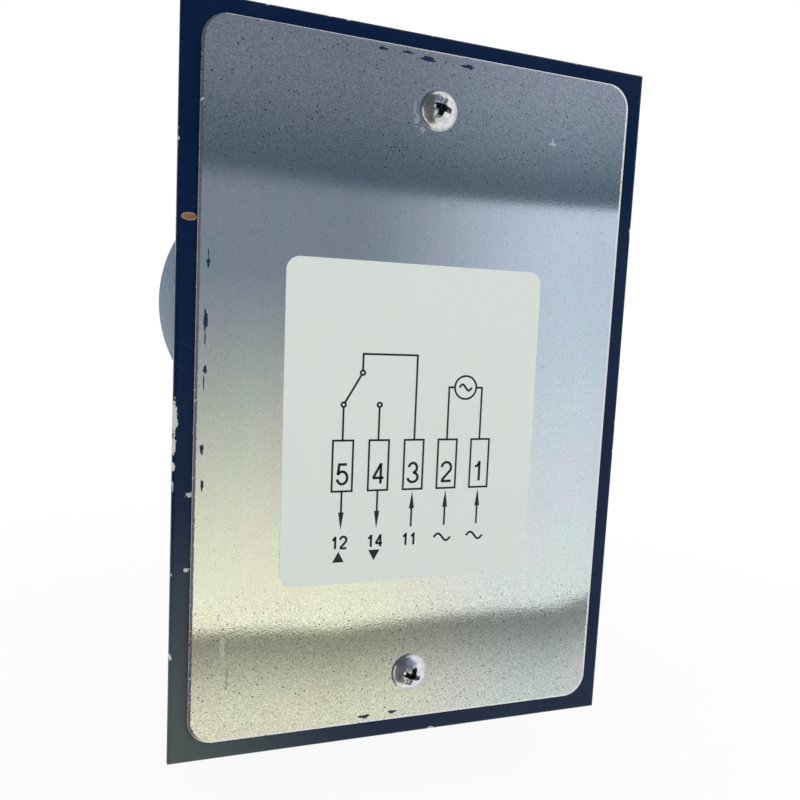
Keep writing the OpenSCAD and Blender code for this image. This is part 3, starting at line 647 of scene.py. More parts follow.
enamel = enamel_finish("navy_enamel")
print("nicks in the enamel:", len(RIM_NICKS))

# %% [markdown]
# ## Galvanised cover
# Zinc from the bath dries to a skin of tiny bumps. Each bump mirrors the room a little off, so
# the reflection keeps its bands but breaks into grain along their borders, and a painted glint speckle in the
# colour adds to that grain at both ends. Streaks along the rolling direction, a star scratch, a long smudge,
# a painted reflection beside the top screw and a torn sheared edge complete it.

# %% Finish of galvanised sheet
DARK_MARK = (0.16, 0.165, 0.17)
# Bright marks: a scratch, and a painted reflection of the top screw's head on the plate
BRIGHT_SCRATCH_AND_REFLECTION = (0.95, 0.96, 0.97)
# Place along X and Z, half the width and half the height in millimetres, and strength. The first two make a
# star scratch and the next two a long smudge; the last three, bright at the left and lower left of the top
# screw's head, are a painted reflection of the head on the plate.
COVER_MARKS_AND_REFLECTION = [
    (45.45, 36.8, 0.7, 0.28, -0.8), (45.5, 36.9, 0.25, 0.75, -0.8), (-21.7, -71.0, 0.4, 3.6, 0.42),
    (-20.7, -76.4, 0.45, 2.8, 0.5), (13.6, 39.6, 0.3, 1.2, -0.5), (14.1, 37.6, 0.4, 1.3, -0.7),
    (15.4, 36.0, 0.6, 0.8, -0.5),
]


def galvanised_finish(name, node, shine, marks=()):
    """Zinc skin: grain bump, rolling streaks, smears, marks, painted glints and a torn cut edge.

    A mark is its place, half size and strength: a positive one is dark, a negative one bright.
    The grain shows most towards the two ends, where the mirrored bands' borders fall; there the colour
    speckle is a painted glint.
    """
    material, tree = new_finish(name)
    fine = use(tree, grain, Scale=2600.0, Detail=1.0, Low=0.3, High=0.7)
    salt = use(tree, grain, Scale=3700.0, Detail=2.0, Low=0.32, High=0.68)
    streak = use(tree, grain, Scale=420.0, Detail=3.0, Stretch=(1.0, 1.0, 0.03), Low=0.3, High=0.7)
    smear = use(tree, grain, Scale=35.0, Detail=3.0, Low=0.4, High=0.75)
    tone = use(tree, grain, Scale=110.0, Detail=4.0, Stretch=(1.0, 1.0, 0.5), Low=0.35, High=0.65)
    cut = rubbed(tree, node, 0.0009, 1000.0)
    # Stronger towards the two ends of the sheet: there the colour speckle is a painted glint where the
    # mirrored bands' borders fall, while the pepper and the bump are real grain
    grain_and_glint_ends = ramp(abs(split(place_in(tree))[2] + 0.018), 0.038, 0.050) * 0.7 + 0.3
    shade = streak * 0.12 + smear * 0.15
    layers = [
        (tone, (0.675, 0.735, 0.715)),
        (shade, (0.50, 0.52, 0.535)),
        # painted glint: bright and dark speckle, strongest at the two ends
        (grain_and_glint_ends * 0.50, layered((1.0, 1.0, 1.0), (salt, (0.34, 0.37, 0.39)))),
        (use(tree, pepper) * grain_and_glint_ends, (0.10, 0.11, 0.14)),
        (use(tree, scratches, Amount=0.05) * 0.4, (0.85, 0.86, 0.87)),
        (cut, layered((0.72, 0.73, 0.71), (fine, (0.12, 0.13, 0.15)))),
    ]
    rough = cut * 0.45 + (shade * 0.06 + shine)
    # A bright mark beside the top screw is a painted reflection; the others are scratches and smudges
    for *where, strength in marks:
        blot = spot(tree, *where, middle(node)[1], 0.8, half_y=2.0, breakup=1300.0)
        layers.append((blot * abs(strength), DARK_MARK if strength > 0 else BRIGHT_SCRATCH_AND_REFLECTION))
        rough = blot * 0.25 + rough
    colour = layered((0.725, 0.70, 0.745), *layers)
    return feed_shader(material, colour, rough, fine * grain_and_glint_ends, 0.0009, metallic=1.0 - cut * 0.95)


galvanised = galvanised_finish("galvanised_cover", "cover_plate", 0.05, COVER_MARKS_AND_REFLECTION)
galvanised_inner = galvanised_finish("galvanised_inner", "base_plate", 0.22)
print("marks on the cover:", len(COVER_MARKS_AND_REFLECTION))

# %% [markdown]
# ## Label film and ink
# The label is a matt off-white film. Handling has left it slightly grey along the border, and
# fibres and dust show as faint specks. The ink is screen printed, black and just proud of it.

# %% Finish of film and ink
FILM = (0.79, 0.85, 0.80)


def film_finish(name):
    """Matt film with faint specks and a soiled border."""
    material, tree = new_finish(name)
    fine = use(tree, grain, Scale=1400.0, Detail=3.0, Low=0.3, High=0.7)
    broad = use(tree, grain, Scale=50.0, Detail=4.0, Low=0.35, High=0.75)
    soil = rubbed(tree, "wiring_label", 0.0009, 260.0)
    colour = layered(
        FILM,
        (broad * 0.10, (0.70, 0.77, 0.73)),
        (fine * 0.06, (0.55, 0.58, 0.56)),
        (soil * 0.18, (0.42, 0.42, 0.38)),
    )
    return feed_shader(material, colour, broad * 0.12 + 0.52, fine, 0.004)


label_film = film_finish("label_film")
ink = moulded_finish("screen_ink", (0.006, 0.006, 0.007), (0.03, 0.03, 0.03), 0.5, 0.2, 0.003, scratch=0.0)
print("film and ink:", label_film.name, ink.name)

# %% [markdown]
# ## Dress the CAD nodes
# Most solids keep their CAD shape and only need their finish. The record says which material
# slot each node takes, so the finish follows the slot, and a few nodes get one of their own.

# %% Hand out the finishes
finish_of_slot = {
    **metals,
    **mouldings,
    "navy_paint": enamel,
    "galvanised_sheet": galvanised,
    "label_film": label_film,
}
flange_zinc = metal_finish(
    "turned_zinc", (0.64, 0.70, 0.80), (0.53, 0.58, 0.66), 0.13, 0.6, 0.003, ring_at=(0, 0, 0)
)
hub_steel = metal_finish(
    "turned_stainless", (0.62, 0.61, 0.59), (0.45, 0.44, 0.42), 0.25, 0.3, 0.010, stretch=(0.15, 1.6, 0.15)
)
vane_steel = metal_finish(
    "brushed_stainless", (0.62, 0.61, 0.59), (0.44, 0.43, 0.41), 0.28, 0.18, 0.012,
    stretch=(1.0, 0.04, 1.0), scratch=0.2,
)
own_finish = {
    "base_plate": galvanised_inner,
    "flange": flange_zinc,
    "ring_nut": flange_zinc,
    "motor_can": flange_zinc,
    "paddle_hub": hub_steel,
    "output_shaft": hub_steel,
    "paddle_vane": vane_steel,
}
for entry in frame["record"]["subparts"]:
    node = entry["node"]
    finish = own_finish.get(node, finish_of_slot[entry["material_slot"]])
    nodes[node].data.materials.clear()
    nodes[node].data.materials.append(finish)

# %% [markdown]
# ## Cover plate with a sheared edge
# A sheared sheet isn't sharp: the punch pulls the face down over the last half millimetre, and
# the line where that starts is uneven. The CAD has a square edge, so the cover is built anew.
# Its outline is walked once, rings of points step inwards from it, and two flat fills with
# holes for the screws close the front and the back.

# %% Outline of a rounded rectangle


def rounded_outline(centre, half, radius, inset, count):
    """Points round a rectangle with round corners, evenly spread, inset by a value per point.

    Walking the path by arc length, straight runs keep their normal and each corner turns it by
    a right angle, so a point is its place on the path minus the inset along its normal.
    """
    arc = radius * np.pi / 2
    runs = [2 * (half[1] - radius), arc, 2 * (half[0] - radius), arc] * 2
    ends = np.cumsum([0.0] + runs)
    walked = np.linspace(0, ends[-1], count, endpoint=False)
    run = np.clip(np.searchsorted(ends, walked, side="right") - 1, 0, 7)
    past = walked - ends[run]
    bend = run % 2 == 1
    quarter = run // 2
    angle = quarter * np.pi / 2 + np.where(bend, past / radius, 0.0)
    normal = np.stack([np.cos(angle), np.sin(angle)], axis=1)
    along = np.stack([-np.sin(quarter * np.pi / 2), np.cos(quarter * np.pi / 2)], axis=1)
    turns_at = np.array([(1, 1), (-1, 1), (-1, -1), (1, -1)]) * (np.array(half) - radius)
    straight = turns_at[quarter - 1] + along * past[:, None]
    base = np.where(bend[:, None], turns_at[quarter], straight)
    return np.array(centre) + base + normal * (radius - inset)[:, None]


# %% Build the cover
COVER_R = 5.2 * MM
SHEET_MM = 1.0
HOLE_R = 2.25 * MM
HOLE_SIDES = 48
NUT_HALF_Z = 3.5 * MM
EDGE_POINTS = 1400
# Each ring's inset, its depth behind the face and how uneven it is, in millimetres
EDGE_RINGS = [
    (0.0, SHEET_MM, 0.0), (0.0, 0.42, 0.0), (0.03, 0.25, 0.01),
    (0.12, 0.12, 0.04), (0.30, 0.04, 0.09), (0.55, 0.0, 0.18),
]
nut_low, nut_high = corners("cover_nuts")
screw_x = (nut_low[0] + nut_high[0]) / 2
cover_screw_at = [
    (screw_x, cover_face, nut_high[2] - NUT_HALF_Z),
    (screw_x, cover_face, nut_low[2] + NUT_HALF_Z),
]


def behind_face(flat, depth):
    """Points of the cover's plane, so many millimetres behind its face."""
    return np.stack([flat[:, 0], np.full(len(flat), cover_face + depth * MM), flat[:, 1]], axis=1)


walk = full_turn(EDGE_POINTS)
uneven = sum(np.sin(walk * waves + waves) / 4 for waves in (61, 137, 233, 331, 467)) * 0.5
edge_rows = []
for inset, depth, ragged in EDGE_RINGS:
    step = (inset + ragged * (uneven + 0.6)) * MM
    centre, half = middle("cover_plate")[[0, 2]], (cover_high - cover_low)[[0, 2]] / 2
    edge_rows.append(behind_face(rounded_outline(centre, half, COVER_R, step, EDGE_POINTS), depth))
cover_parts = [grid(np.stack(edge_rows))]
for x, _, z in cover_screw_at:
    hole = circle(x, z, HOLE_R, HOLE_SIDES)
    cover_parts.append(grid(np.stack([behind_face(hole, 0.0), behind_face(hole, SHEET_MM)])))
cover = piece(
    "cover_sheet", cover_parts, "case", galvanised, ("cover_plate",),
    fill_at=(cover_face, cover_face + SHEET_MM * MM),
)
facing = np.empty(3 * len(cover.data.polygons))
cover.data.polygons.foreach_get("normal", facing)
flat = np.abs(facing[1::3]) >= 0.99999
cover.data.polygons.foreach_set("use_smooth", ~flat)
cover.data.update()
print("flat faces of the cover:", int(flat.sum()))

# %% [markdown]
# ## The wiring print
# A changeover contact on terminals 5, 4 and 3, a motor on 2 and 1. Screen print is a thin layer
# of ink, so each line is a ribbon with mitred corners and a real, tiny thickness. The ribbons
# are laid out in the label's own millimetres and then turned and moved onto it as one.

# %% Ribbons of ink
INK_LINE = 0.42
INK_THICK = 0.02
LABEL_TURN = math.radians(0.56)
label_centre = middle("wiring_label")


def onto_label(flat, lift):
    """Label millimetres to the frame: turned by the label's tilt, then moved to its face."""
    x, z = flat[..., 0] * MM, flat[..., 1] * MM
    turned_x = x * math.cos(LABEL_TURN) - z * math.sin(LABEL_TURN)
    turned_z = x * math.sin(LABEL_TURN) + z * math.cos(LABEL_TURN)
    depth = np.full(x.shape, label_face) - lift
    return np.stack([label_centre[0] + turned_x, depth, label_centre[2] + turned_z], axis=-1)


def ribbon(path, width=INK_LINE, closed=False):
    """A flat line of ink: each point moves half the width either way along its mitre.

    The mitre is the sum of the two neighbours' normals, scaled so the line keeps its width.
    """
    path = np.array(path, float)
    width = np.broadcast_to(np.asarray(width, float), (len(path),))
    if closed:
        before, after = np.roll(path, 1, axis=0), np.roll(path, -1, axis=0)
    else:
        before = np.vstack([2 * path[0] - path[1], path[:-1]])
        after = np.vstack([path[1:], 2 * path[-1] - path[-2]])
    along = np.stack([path - before, after - path])
    along /= np.linalg.norm(along, axis=2, keepdims=True)
    normal = np.stack([-along[..., 1], along[..., 0]], axis=-1)
    mitre = normal[0] + normal[1]
    mitre /= np.sum(mitre * normal[0], axis=1, keepdims=True)
    half = mitre * width[:, None] / 2
    left, right, top = path + half, path - half, INK_THICK * MM
    section = ((left, 0.0), (left, top), (right, top), (right, 0.0))
    rows = np.stack([onto_label(flat, lift) for flat, lift in section], axis=1)
    if not closed:
        ends = np.repeat(rows[[0, -1]].mean(axis=1, keepdims=True), 4, axis=1)
        rows = np.concatenate([ends[:1], rows, ends[1:]])
    return grid(rows, wrap_rows=closed)


def ring(x, z, radius):
    """A printed circle."""
    return ribbon(circle(x, z, radius, 40), closed=True)


def arrow(x, tail, tip):
    """A printed arrow: a thin shaft that widens at once into a head and ends in a point."""
    way = math.copysign(1.0, tip - tail)
    neck = tip - way * 3.8
    path = [(x, tail), (x, neck), (x, neck + way * 0.02), (x, tip)]
    return ribbon(path, [INK_LINE, INK_LINE, 1.15, 0.01])


print("a straight ribbon has", len(ribbon([(0, 0), (1, 0)])[1]), "faces")

# %% Lay out the diagram
BOX_MIDDLE = {5: -15.53, 4: -7.77, 3: 0.0, 2: 7.68, 1: 15.36}
BOX_HALF = 2.15
BOX_TOP, BOX_FOOT = -3.16, -13.85
NODE_TOP, NODE_LEFT, NODE_RIGHT = (-11.82, 10.94), (-15.67, 4.30), (-7.97, 4.30)
NODE_R = 0.46
LINE_TOP = 14.82
MOTOR_X, MOTOR_Z, MOTOR_R = 11.29, 8.17, 2.5
ARROW_LOW, ARROW_HIGH = -22.1, -14.3

print_parts = []
for x in BOX_MIDDLE.values():
    x0, x1 = x - BOX_HALF, x + BOX_HALF
    print_parts.append(ribbon([(x0, BOX_TOP), (x1, BOX_TOP), (x1, BOX_FOOT), (x0, BOX_FOOT)], closed=True))
for x, z in (NODE_TOP, NODE_LEFT, NODE_RIGHT):
    print_parts.append(ring(x, z, NODE_R))
top_x, top_z = NODE_TOP
common = BOX_MIDDLE[3]
bridge = [(top_x, top_z + NODE_R), (top_x, LINE_TOP), (common, LINE_TOP), (common, BOX_TOP)]
print_parts.append(ribbon(bridge))
blade = np.array([NODE_TOP, NODE_LEFT])
blade_way = (blade[1] - blade[0]) / np.linalg.norm(blade[1] - blade[0])
print_parts.append(ribbon([blade[0] + blade_way * NODE_R, blade[1] - blade_way * NODE_R]))
for x, z in (NODE_LEFT, NODE_RIGHT):
    print_parts.append(ribbon([(x, z - NODE_R), (x, BOX_TOP)]))
print_parts.append(ring(MOTOR_X, MOTOR_Z, MOTOR_R))
for side, number in ((-1, 2), (1, 1)):
    end = BOX_MIDDLE[number] - 0.2
    print_parts.append(ribbon([(MOTOR_X + side * MOTOR_R, MOTOR_Z), (end, MOTOR_Z), (end, BOX_TOP)]))
for number in (5, 4):
    print_parts.append(arrow(BOX_MIDDLE[number], BOX_FOOT, ARROW_LOW))
for number in (3, 2, 1):
    print_parts.append(arrow(BOX_MIDDLE[number], ARROW_LOW, ARROW_HIGH))
print("ink ribbons:", len(print_parts))

# %% [markdown]
# ## Numbers on the label
# A printed number is a pen's path: a few straight runs and arcs of an ellipse, drawn with the
# same ribbon as the lines. That keeps the plain grotesque look of a wiring label, and the ink's
# edges stay clean where a font's outline would bring hundreds of tiny faces.

# %% Print the numbers


def bow(x, z, reach_x, reach_z, start, end):
    """Points on an ellipse from one angle to another, in degrees."""
    turn = np.radians(np.linspace(start, end, 22))
    return list(zip(x + reach_x * np.cos(turn), z + reach_z * np.sin(turn)))


PEN = {
    "1": [[(0.06, 0.74), (0.17, 0.77), (0.26, 0.86), (0.31, 1.0)], [(0.31, 1.03), (0.31, -0.03)]],
    "2": [bow(0.28, 0.72, 0.26, 0.28, 176, -38) + [(0.05, 0.06)], [(0.0, 0.0), (0.56, 0.0)]],
    "3": [bow(0.27, 0.75, 0.22, 0.25, 172, -88), bow(0.27, 0.25, 0.27, 0.25, 88, -172)],
    "4": [[(0.42, -0.03), (0.42, 1.03)], [(0.42, 1.0), (0.03, 0.27)], [(0.0, 0.27), (0.58, 0.27)]],
    "5": [[(0.51, 1.0), (0.12, 1.0), (0.06, 0.47)], bow(0.28, 0.32, 0.26, 0.32, 150, -168)],
}
DIGIT_WIDE, DIGIT_STEP = 0.56, 0.72
BOX_DIGIT_Z, BOX_DIGIT_H, BOX_PEN = -10.25, 4.15, 0.56
CONTACT_H, CONTACT_PEN, CONTACT_SHIFT = 2.5, 0.48, -0.2
WAVE_PEN, SIGN_SHIFT = 0.46, -0.3
TRIANGLE_HALF, TRIANGLE_WIDE = 1.15, 2.5
ROW_ONE, ROW_TWO = -24.8, -27.9


def number_print(body, x, z, height, width):
    """Digits side by side, their middle at x and z, drawn with a pen of the given width."""
    start = x - height * (DIGIT_STEP * (len(body) - 1) + DIGIT_WIDE) / 2
    parts = []
    for place, digit in enumerate(body):
        foot = np.array([start + place * DIGIT_STEP * height, z - height / 2])
        parts.extend(ribbon(np.array(path) * height + foot, width) for path in PEN[digit])
    return parts


def wave(x, z, width, height):
    """The sign for alternating current: one period of a sine."""
    run = np.linspace(0, 1, 25)
    path = np.stack([x + width * (run - 0.5), z + height / 2 * np.sin(2 * np.pi * run)], axis=1)
    return ribbon(path, WAVE_PEN)


for number, x in BOX_MIDDLE.items():
    print_parts.extend(number_print(str(number), x, BOX_DIGIT_Z, BOX_DIGIT_H, BOX_PEN))
for number, contact in ((5, "12"), (4, "14"), (3, "11")):
    x = BOX_MIDDLE[number] + CONTACT_SHIFT
    print_parts.extend(number_print(contact, x, ROW_ONE, CONTACT_H, CONTACT_PEN))
print_parts.append(wave(MOTOR_X, MOTOR_Z, 2.9, 1.3))
for number in (2, 1):
    print_parts.append(wave(BOX_MIDDLE[number] + SIGN_SHIFT, ROW_ONE, 3.9, 1.6))
for number, way in ((5, 1), (4, -1)):
    x = BOX_MIDDLE[number] + SIGN_SHIFT
    foot, tip = ROW_TWO - TRIANGLE_HALF * way, ROW_TWO + TRIANGLE_HALF * way
    print_parts.append(ribbon([(x, foot), (x, foot + way * 0.02), (x, tip)], [0.01, TRIANGLE_WIDE, 0.01]))
label_print = piece("label_print", print_parts, "case", ink, smooth=False)

# %% [markdown]
# ## Cover screws
# The screws show their heads to the camera, so they deserve more than the CAD's plain ones: a
# pressed pan head, a worn cross recess and a rolled thread. The head is a height field over a
# disc: a dome, minus a cross that gets deeper and narrower towards the middle.

# %% Shape of the pan head
HEAD_R = 4.08 * MM
HEAD_H = 2.5 * MM
HEAD_SIDES = 240
RECESS_DEPTH = 1.5 * MM
RECESS_REACH = 1.9 * MM
RECESS_WIDE = 0.46 * MM
LIP_H = 0.09 * MM


def ease(low, high, value):
    """Zero below low, one above high, smooth between; low may be above high."""
    share = np.clip((value - low) / (high - low), 0, 1)
    return share * share * (3 - 2 * share)


def cross_shape(x, z, turn, wear, grow):
    """How far inside the cross a place is, from zero to one, and its reach along a wing.

    A place is folded into one wing by taking the larger and the smaller of its two turned
    distances. A few sines wear the outline, and grow widens it.
    """
    wobble = np.sin(x / MM * 3.1 + wear) + np.sin(z / MM * 3.7 + 2 * wear) * np.cos(x / MM * 2.3)
    wobble = wobble * 0.13 * MM
    turned_x = x * math.cos(turn) - z * math.sin(turn)
    turned_z = x * math.sin(turn) + z * math.cos(turn)
    long_side = np.maximum(np.abs(turned_x), np.abs(turned_z)) + wobble - grow
    short_side = np.minimum(np.abs(turned_x), np.abs(turned_z)) + wobble * 0.6 - grow
    wing = ease(RECESS_WIDE * 1.2, RECESS_WIDE * 0.75, short_side)
    wing = wing * ease(RECESS_REACH * 1.1, RECESS_REACH * 0.95, long_side)
    core = ease(1.0 * MM, 0.6 * MM, np.hypot(x, z) + wobble - grow)
    return np.maximum(wing, core), long_side


def recess_depth(x, z, turn, wear):
    """Depth of the cross recess: its floor slopes down from the wings' ends to the middle."""
    inside, reach = cross_shape(x, z, turn, wear, 0.0)
    return inside * RECESS_DEPTH * np.clip(1.15 - 0.8 * reach / RECESS_REACH, 0.1, 1)


def head_height(x, z, turn, wear):
    """Height of the head over its seat: a domed pan, a burr round the recess, and the recess."""
    share = np.clip(np.hypot(x, z) / HEAD_R, 0, 1)
    pan = HEAD_H * (0.30 * np.sqrt(1 - share**9) + 0.70 * (1 - share**2.2))
    dents = 0.02 * MM * np.sin(x / MM * 2.3 + 3 * wear) * np.sin(z / MM * 2.1 + wear) * (1 - share**4)
    burr = LIP_H * cross_shape(x, z, turn, wear, 0.22 * MM)[0]
    return pan + dents + burr - recess_depth(x, z, turn, wear)


def screw_head(at, turn, wear):
    """The head's face as rings from the seat to the middle, on the side of the viewer."""
    out = np.concatenate([np.linspace(0, 2.8, 96), np.linspace(2.84, 3.8, 16), np.linspace(3.84, 4.08, 14)])
    radius, swing = np.meshgrid(out[::-1] * MM, full_turn(HEAD_SIDES), indexing="ij")
    x, z = radius * np.cos(swing), radius * np.sin(swing)
    height = head_height(x, z, turn, wear)
    height[0] = 0
    return grid(np.stack([at[0] + x, at[1] - np.maximum(height, 0), at[2] + z], axis=-1))


print("the recess is", round(float(recess_depth(0.0, 0.0, 0.0, 1.3)) / MM, 2), "mm deep in its middle")

# %% [markdown]
# ## Rolled threads
# A thread is a groove along a helix. On a turned body that is one line: the radius dips by a
# tooth whose phase runs on with height and turns once round per pitch.

# %% Threads for screws and studs
THREAD_SIDES = 28


def threaded(at, start, end, radius, pitch):
    """A threaded rod from start to end along Y, chamfered by half a pitch at its end."""
    rows = int(abs(end - start) / pitch * 8) + 1
    height = np.linspace(start, end, rows)[:, None]
    phase = (height / pitch - np.linspace(0, 1, THREAD_SIDES, endpoint=False)) % 1.0
    tooth = np.clip(1.6 * np.abs(2 * phase - 1) - 0.3, 0, 1)
    limit = radius - np.clip(0.5 * pitch - np.abs(end - height), 0, None)
    shape = np.minimum(radius - 0.58 * pitch * (1 - tooth), limit)
    closing = np.zeros((1, THREAD_SIDES))
    shape = np.vstack([closing, shape, closing])
    height = np.vstack([height[:1], height, height[-1:]])
    return turned(shape, height, at, THREAD_SIDES)


# %% Turn the cover screws
SCREW_R = 2.0 * MM
SCREW_PITCH = 0.7 * MM
RECESS_TURNS = np.radians([15, 19])
RECESS_WEAR = (1.3, 2.3)
screw_end = corners("cover_screws")[1][1]
screw_parts = []
for at, turn, wear in zip(cover_screw_at, RECESS_TURNS, RECESS_WEAR):
    screw_parts.append(screw_head(at, turn, wear))
    screw_parts.append(turned(np.array([[HEAD_R], [SCREW_R], [0.0]]), 0.0, at, HEAD_SIDES))
    screw_parts.append(threaded((at[0], 0, at[2]), at[1], screw_end, SCREW_R, SCREW_PITCH))
print("parts of the screws:", len(screw_parts))

# %% [markdown]
# ### Painted shade in the recesses
# The deep part of a recess is painted dark as shade. The head's own formula knows how
# deep each point is, so its depth becomes an attribute of the mesh, and the finish turns it into
# painted shade with a ragged border. No pattern in space could follow the cross so closely.

# %% Finish of a worn head


def head_finish(name):
    """Bright zinc on a worn head: painted shade sits where the attribute says, deep in the recess."""
    material, tree = new_finish(name)
    fine = use(tree, grain, Scale=3500.0, Low=0.3, High=0.7)
    broad = use(tree, grain, Scale=900.0, Detail=3.0, Low=0.35, High=0.7)
    lines = use(tree, scratches, Spacing=0.0012, Length=0.003, Thin=0.00004, Amount=0.3)
    shade = fine * 0.25 + broad * 0.35
    ragged = add(tree, "Attribute", "Fac", attribute_name="recess_shade") + (broad - 0.5) * 0.5
    # Painted shade: dark where the recess is deep, with a ragged border
    recess_shade_share = ramp(ragged, 0.15, 0.65)
    colour = layered((0.80, 0.82, 0.84), (shade, (0.40, 0.42, 0.42)), (recess_shade_share, (0.022, 0.032, 0.034)))
    height = fine * 0.3 + broad * 0.7 - lines * 0.8
    return feed_shader(material, colour, recess_shade_share * 0.35 + (shade * 0.2 + 0.12), height, 0.02, metallic=1.0)


cover_screws = piece(
    "cover_screws_fine", screw_parts, "case", head_finish("worn_head"), ("cover_screws",)
)
places = np.empty(3 * len(cover_screws.data.vertices))
cover_screws.data.vertices.foreach_get("co", places)
places = places.reshape(-1, 3)
# Painted shade: how deep in its recess each point of a head lies
recess_shade_value = np.zeros(len(places))
for at, turn, wear in zip(cover_screw_at, RECESS_TURNS, RECESS_WEAR):
    side_x, height_y, side_z = (places - at).T
    on_head = (np.hypot(side_x, side_z) < HEAD_R * 1.01) & (height_y < 0)
    depth = recess_depth(side_x, side_z, turn, wear)
    recess_shade_value = np.where(on_head, ease(0.8 * MM, 1.25 * MM, depth), recess_shade_value)
recess_shade = cover_screws.data.attributes.new("recess_shade", "FLOAT", "POINT")
recess_shade.data.foreach_set("value", recess_shade_value)
print("grime reaches", int(np.sum(recess_shade_value > 0.5)), "points of the heads")

# %% [markdown]
# ## Mounting studs
# The four studs carry the switch on the hopper wall. The CAD has plain rods with a pressed-in
# root; here the same rods get their thread, because their ends stand free behind the box.

# %% Thread the studs
STUD_R = 2.5 * MM
STUD_PITCH = 0.8 * MM
ROOT_R = 2.75 * MM
stud_low, stud_high = corners("flange_studs")
stud_reach = (stud_high[0] - stud_low[0]) / 2 - ROOT_R
root_radius = np.array([[0.0], [ROOT_R], [ROOT_R], [0.0]])
root_height = np.array([[stud_low[1]], [stud_low[1]], [0.0], [0.0]])
stud_parts = []
for x_side in (-1, 1):
    for z_side in (-1, 1):
        foot = (x_side * stud_reach, 0, z_side * stud_reach)
        stud_parts.append(turned(root_radius, root_height, foot, THREAD_SIDES))
        stud_parts.append(threaded(foot, 0.0, stud_high[1], STUD_R, STUD_PITCH))
studs = piece(
    "flange_studs_threaded", stud_parts, "case", metals["zinc_screw"], ("flange_studs",)
)

# %% [markdown]
# ## Return spring
# A tension spring pulls the swinging gear unit back to its stop. The CAD has it as six-sided
# wire; here it is round wire on the same path: a loop round the post, fifteen coils and a loop
# round the pin.

# %% Wind the spring
spring_x, _, post_z = middle("spring_post")
spring_y = middle("return_spring")[1]
pin_z = middle("spring_pin")[2]
WIRE_R = 0.3 * MM
COIL_R = 2.2 * MM
LOOP_R = 2.1 * MM
HOOK = 1.5 * MM
TURNS = 15


def spring_path():
    """Loop, helix, loop, each as an array of points and of directions across the wire."""
    bend = np.radians(np.linspace(-120, 168, 40))
    low_loop = np.stack([LOOP_R * np.sin(bend), 0 * bend, post_z - LOOP_R * np.cos(bend)], axis=1)
    wind = np.linspace(0, 2 * np.pi * TURNS, TURNS * 24 + 1)
    first, last = post_z + LOOP_R + HOOK, pin_z - LOOP_R - HOOK
    climb = first + (last - first) * wind / wind[-1]
    coil = np.stack([-COIL_R * np.cos(wind), COIL_R * np.sin(wind), climb], axis=1)
    high_loop = np.stack([LOOP_R * np.sin(bend), 0 * bend, pin_z + LOOP_R * np.cos(bend)], axis=1)[::-1]
    across_loop = np.tile([0.0, 1.0, 0.0], (len(bend), 1))
    across_coil = np.stack([np.cos(wind), -np.sin(wind), 0 * wind], axis=1)
    path = np.vstack([low_loop, coil, high_loop])
    across = np.vstack([across_loop, across_coil, -across_loop])
    return path + np.array([spring_x, spring_y, 0.0]), across


wire = tube(*spring_path(), WIRE_R, 10)
spring = piece("return_spring_wire", [wire], None, metals["stainless"], ("return_spring",))
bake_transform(spring)

# %% [markdown]
# ## Paint flecks
# The box was painted with its cover on, and small runs of navy stayed on the zinc when it was
# opened. Each fleck is a low dome with a ragged outline: radius by angle is one plus a few sines.

# %% Flecks on the cover
FLECK_H = 0.04 * MM
# Place along X and Z, then half the width and half the height, in millimetres
FLECKS = [
    (-26.02, 5.9, 0.3, 0.9), (-26.05, 7.6, 0.1, 1.0), (-26.32, -4.9, 0.40, 1.9), (-26.35, -8.2, 0.12, 1.6),
    (-26.22, -14.4, 0.36, 0.8), (-26.42, -16.9, 0.12, 1.6), (-26.52, -29.9, 0.35, 1.0),
    (-26.32, -37.0, 0.3, 1.1), (6.4, 50.2, 1.0, 0.28), (11.5, 50.3, 1.2, 0.25), (15.9, 49.7, 1.5, 0.5),
    (24.6, 49.6, 1.4, 0.4), (8.8, -89.2, 1.3, 0.40), (15.2, -88.9, 1.0, 0.35),
]


def fleck(x, z, half_x, half_z, seed):
    """A dab of paint: an ellipse with a ragged border, domed, on the cover's face."""
    turn = full_turn(36)
    ragged = 1 + 0.16 * np.sin(3 * turn + seed) + 0.11 * np.sin(5 * turn + 2.3 * seed)
    ragged = ragged + 0.07 * np.sin(9 * turn + seed * 4)
    share = np.array([0.0, 1.0, 0.96, 0.8, 0.5, 0.0])[:, None]
    rise = np.array([0.0, 0.0, 0.6, 0.9, 1.0, 1.0])[:, None] * FLECK_H
    flat_x = (x + half_x * share * ragged * np.cos(turn)) * MM
    flat_z = (z + half_z * share * ragged * np.sin(turn)) * MM
    return grid(np.stack([flat_x, cover_face - rise + 0 * flat_x, flat_z], axis=-1))


fleck_paint = moulded_finish("navy_fleck", NAVY, (0.03, 0.04, 0.06), 0.3, 0.3, 0.01)
fleck_parts = [fleck(*where, seed) for seed, where in enumerate(FLECKS)]
flecks = piece("paint_flecks", fleck_parts, "case", fleck_paint)

# %% [markdown]
# ## The studio
# A pale floor under the switch and a white world around it. Seen by the camera or mirrored in
# metal, the world is plain white; as light it is weaker, and three soft lamps add the rest, so
# a colour renders about as it is written.

# %% Floor
FLOOR_Z = cad_box[0][2] - 0.5 * MM
FLOOR_REACH = 3.0


def seen_rays(tree):
    """One for rays from the camera, by reflection or through glass, and zero for light."""
    names = ("Is Camera Ray", "Is Glossy Ray", "Is Transmission Ray")
    camera_ray, glossy_ray, glass_ray = add(tree, "LightPath", names)
    return larger(camera_ray, larger(glossy_ray, glass_ray))


def light_up(tree, shader):
    """Send a shader's output to the material's surface."""
    plug(tree, tree.nodes["Material Output"].inputs["Surface"], shader)


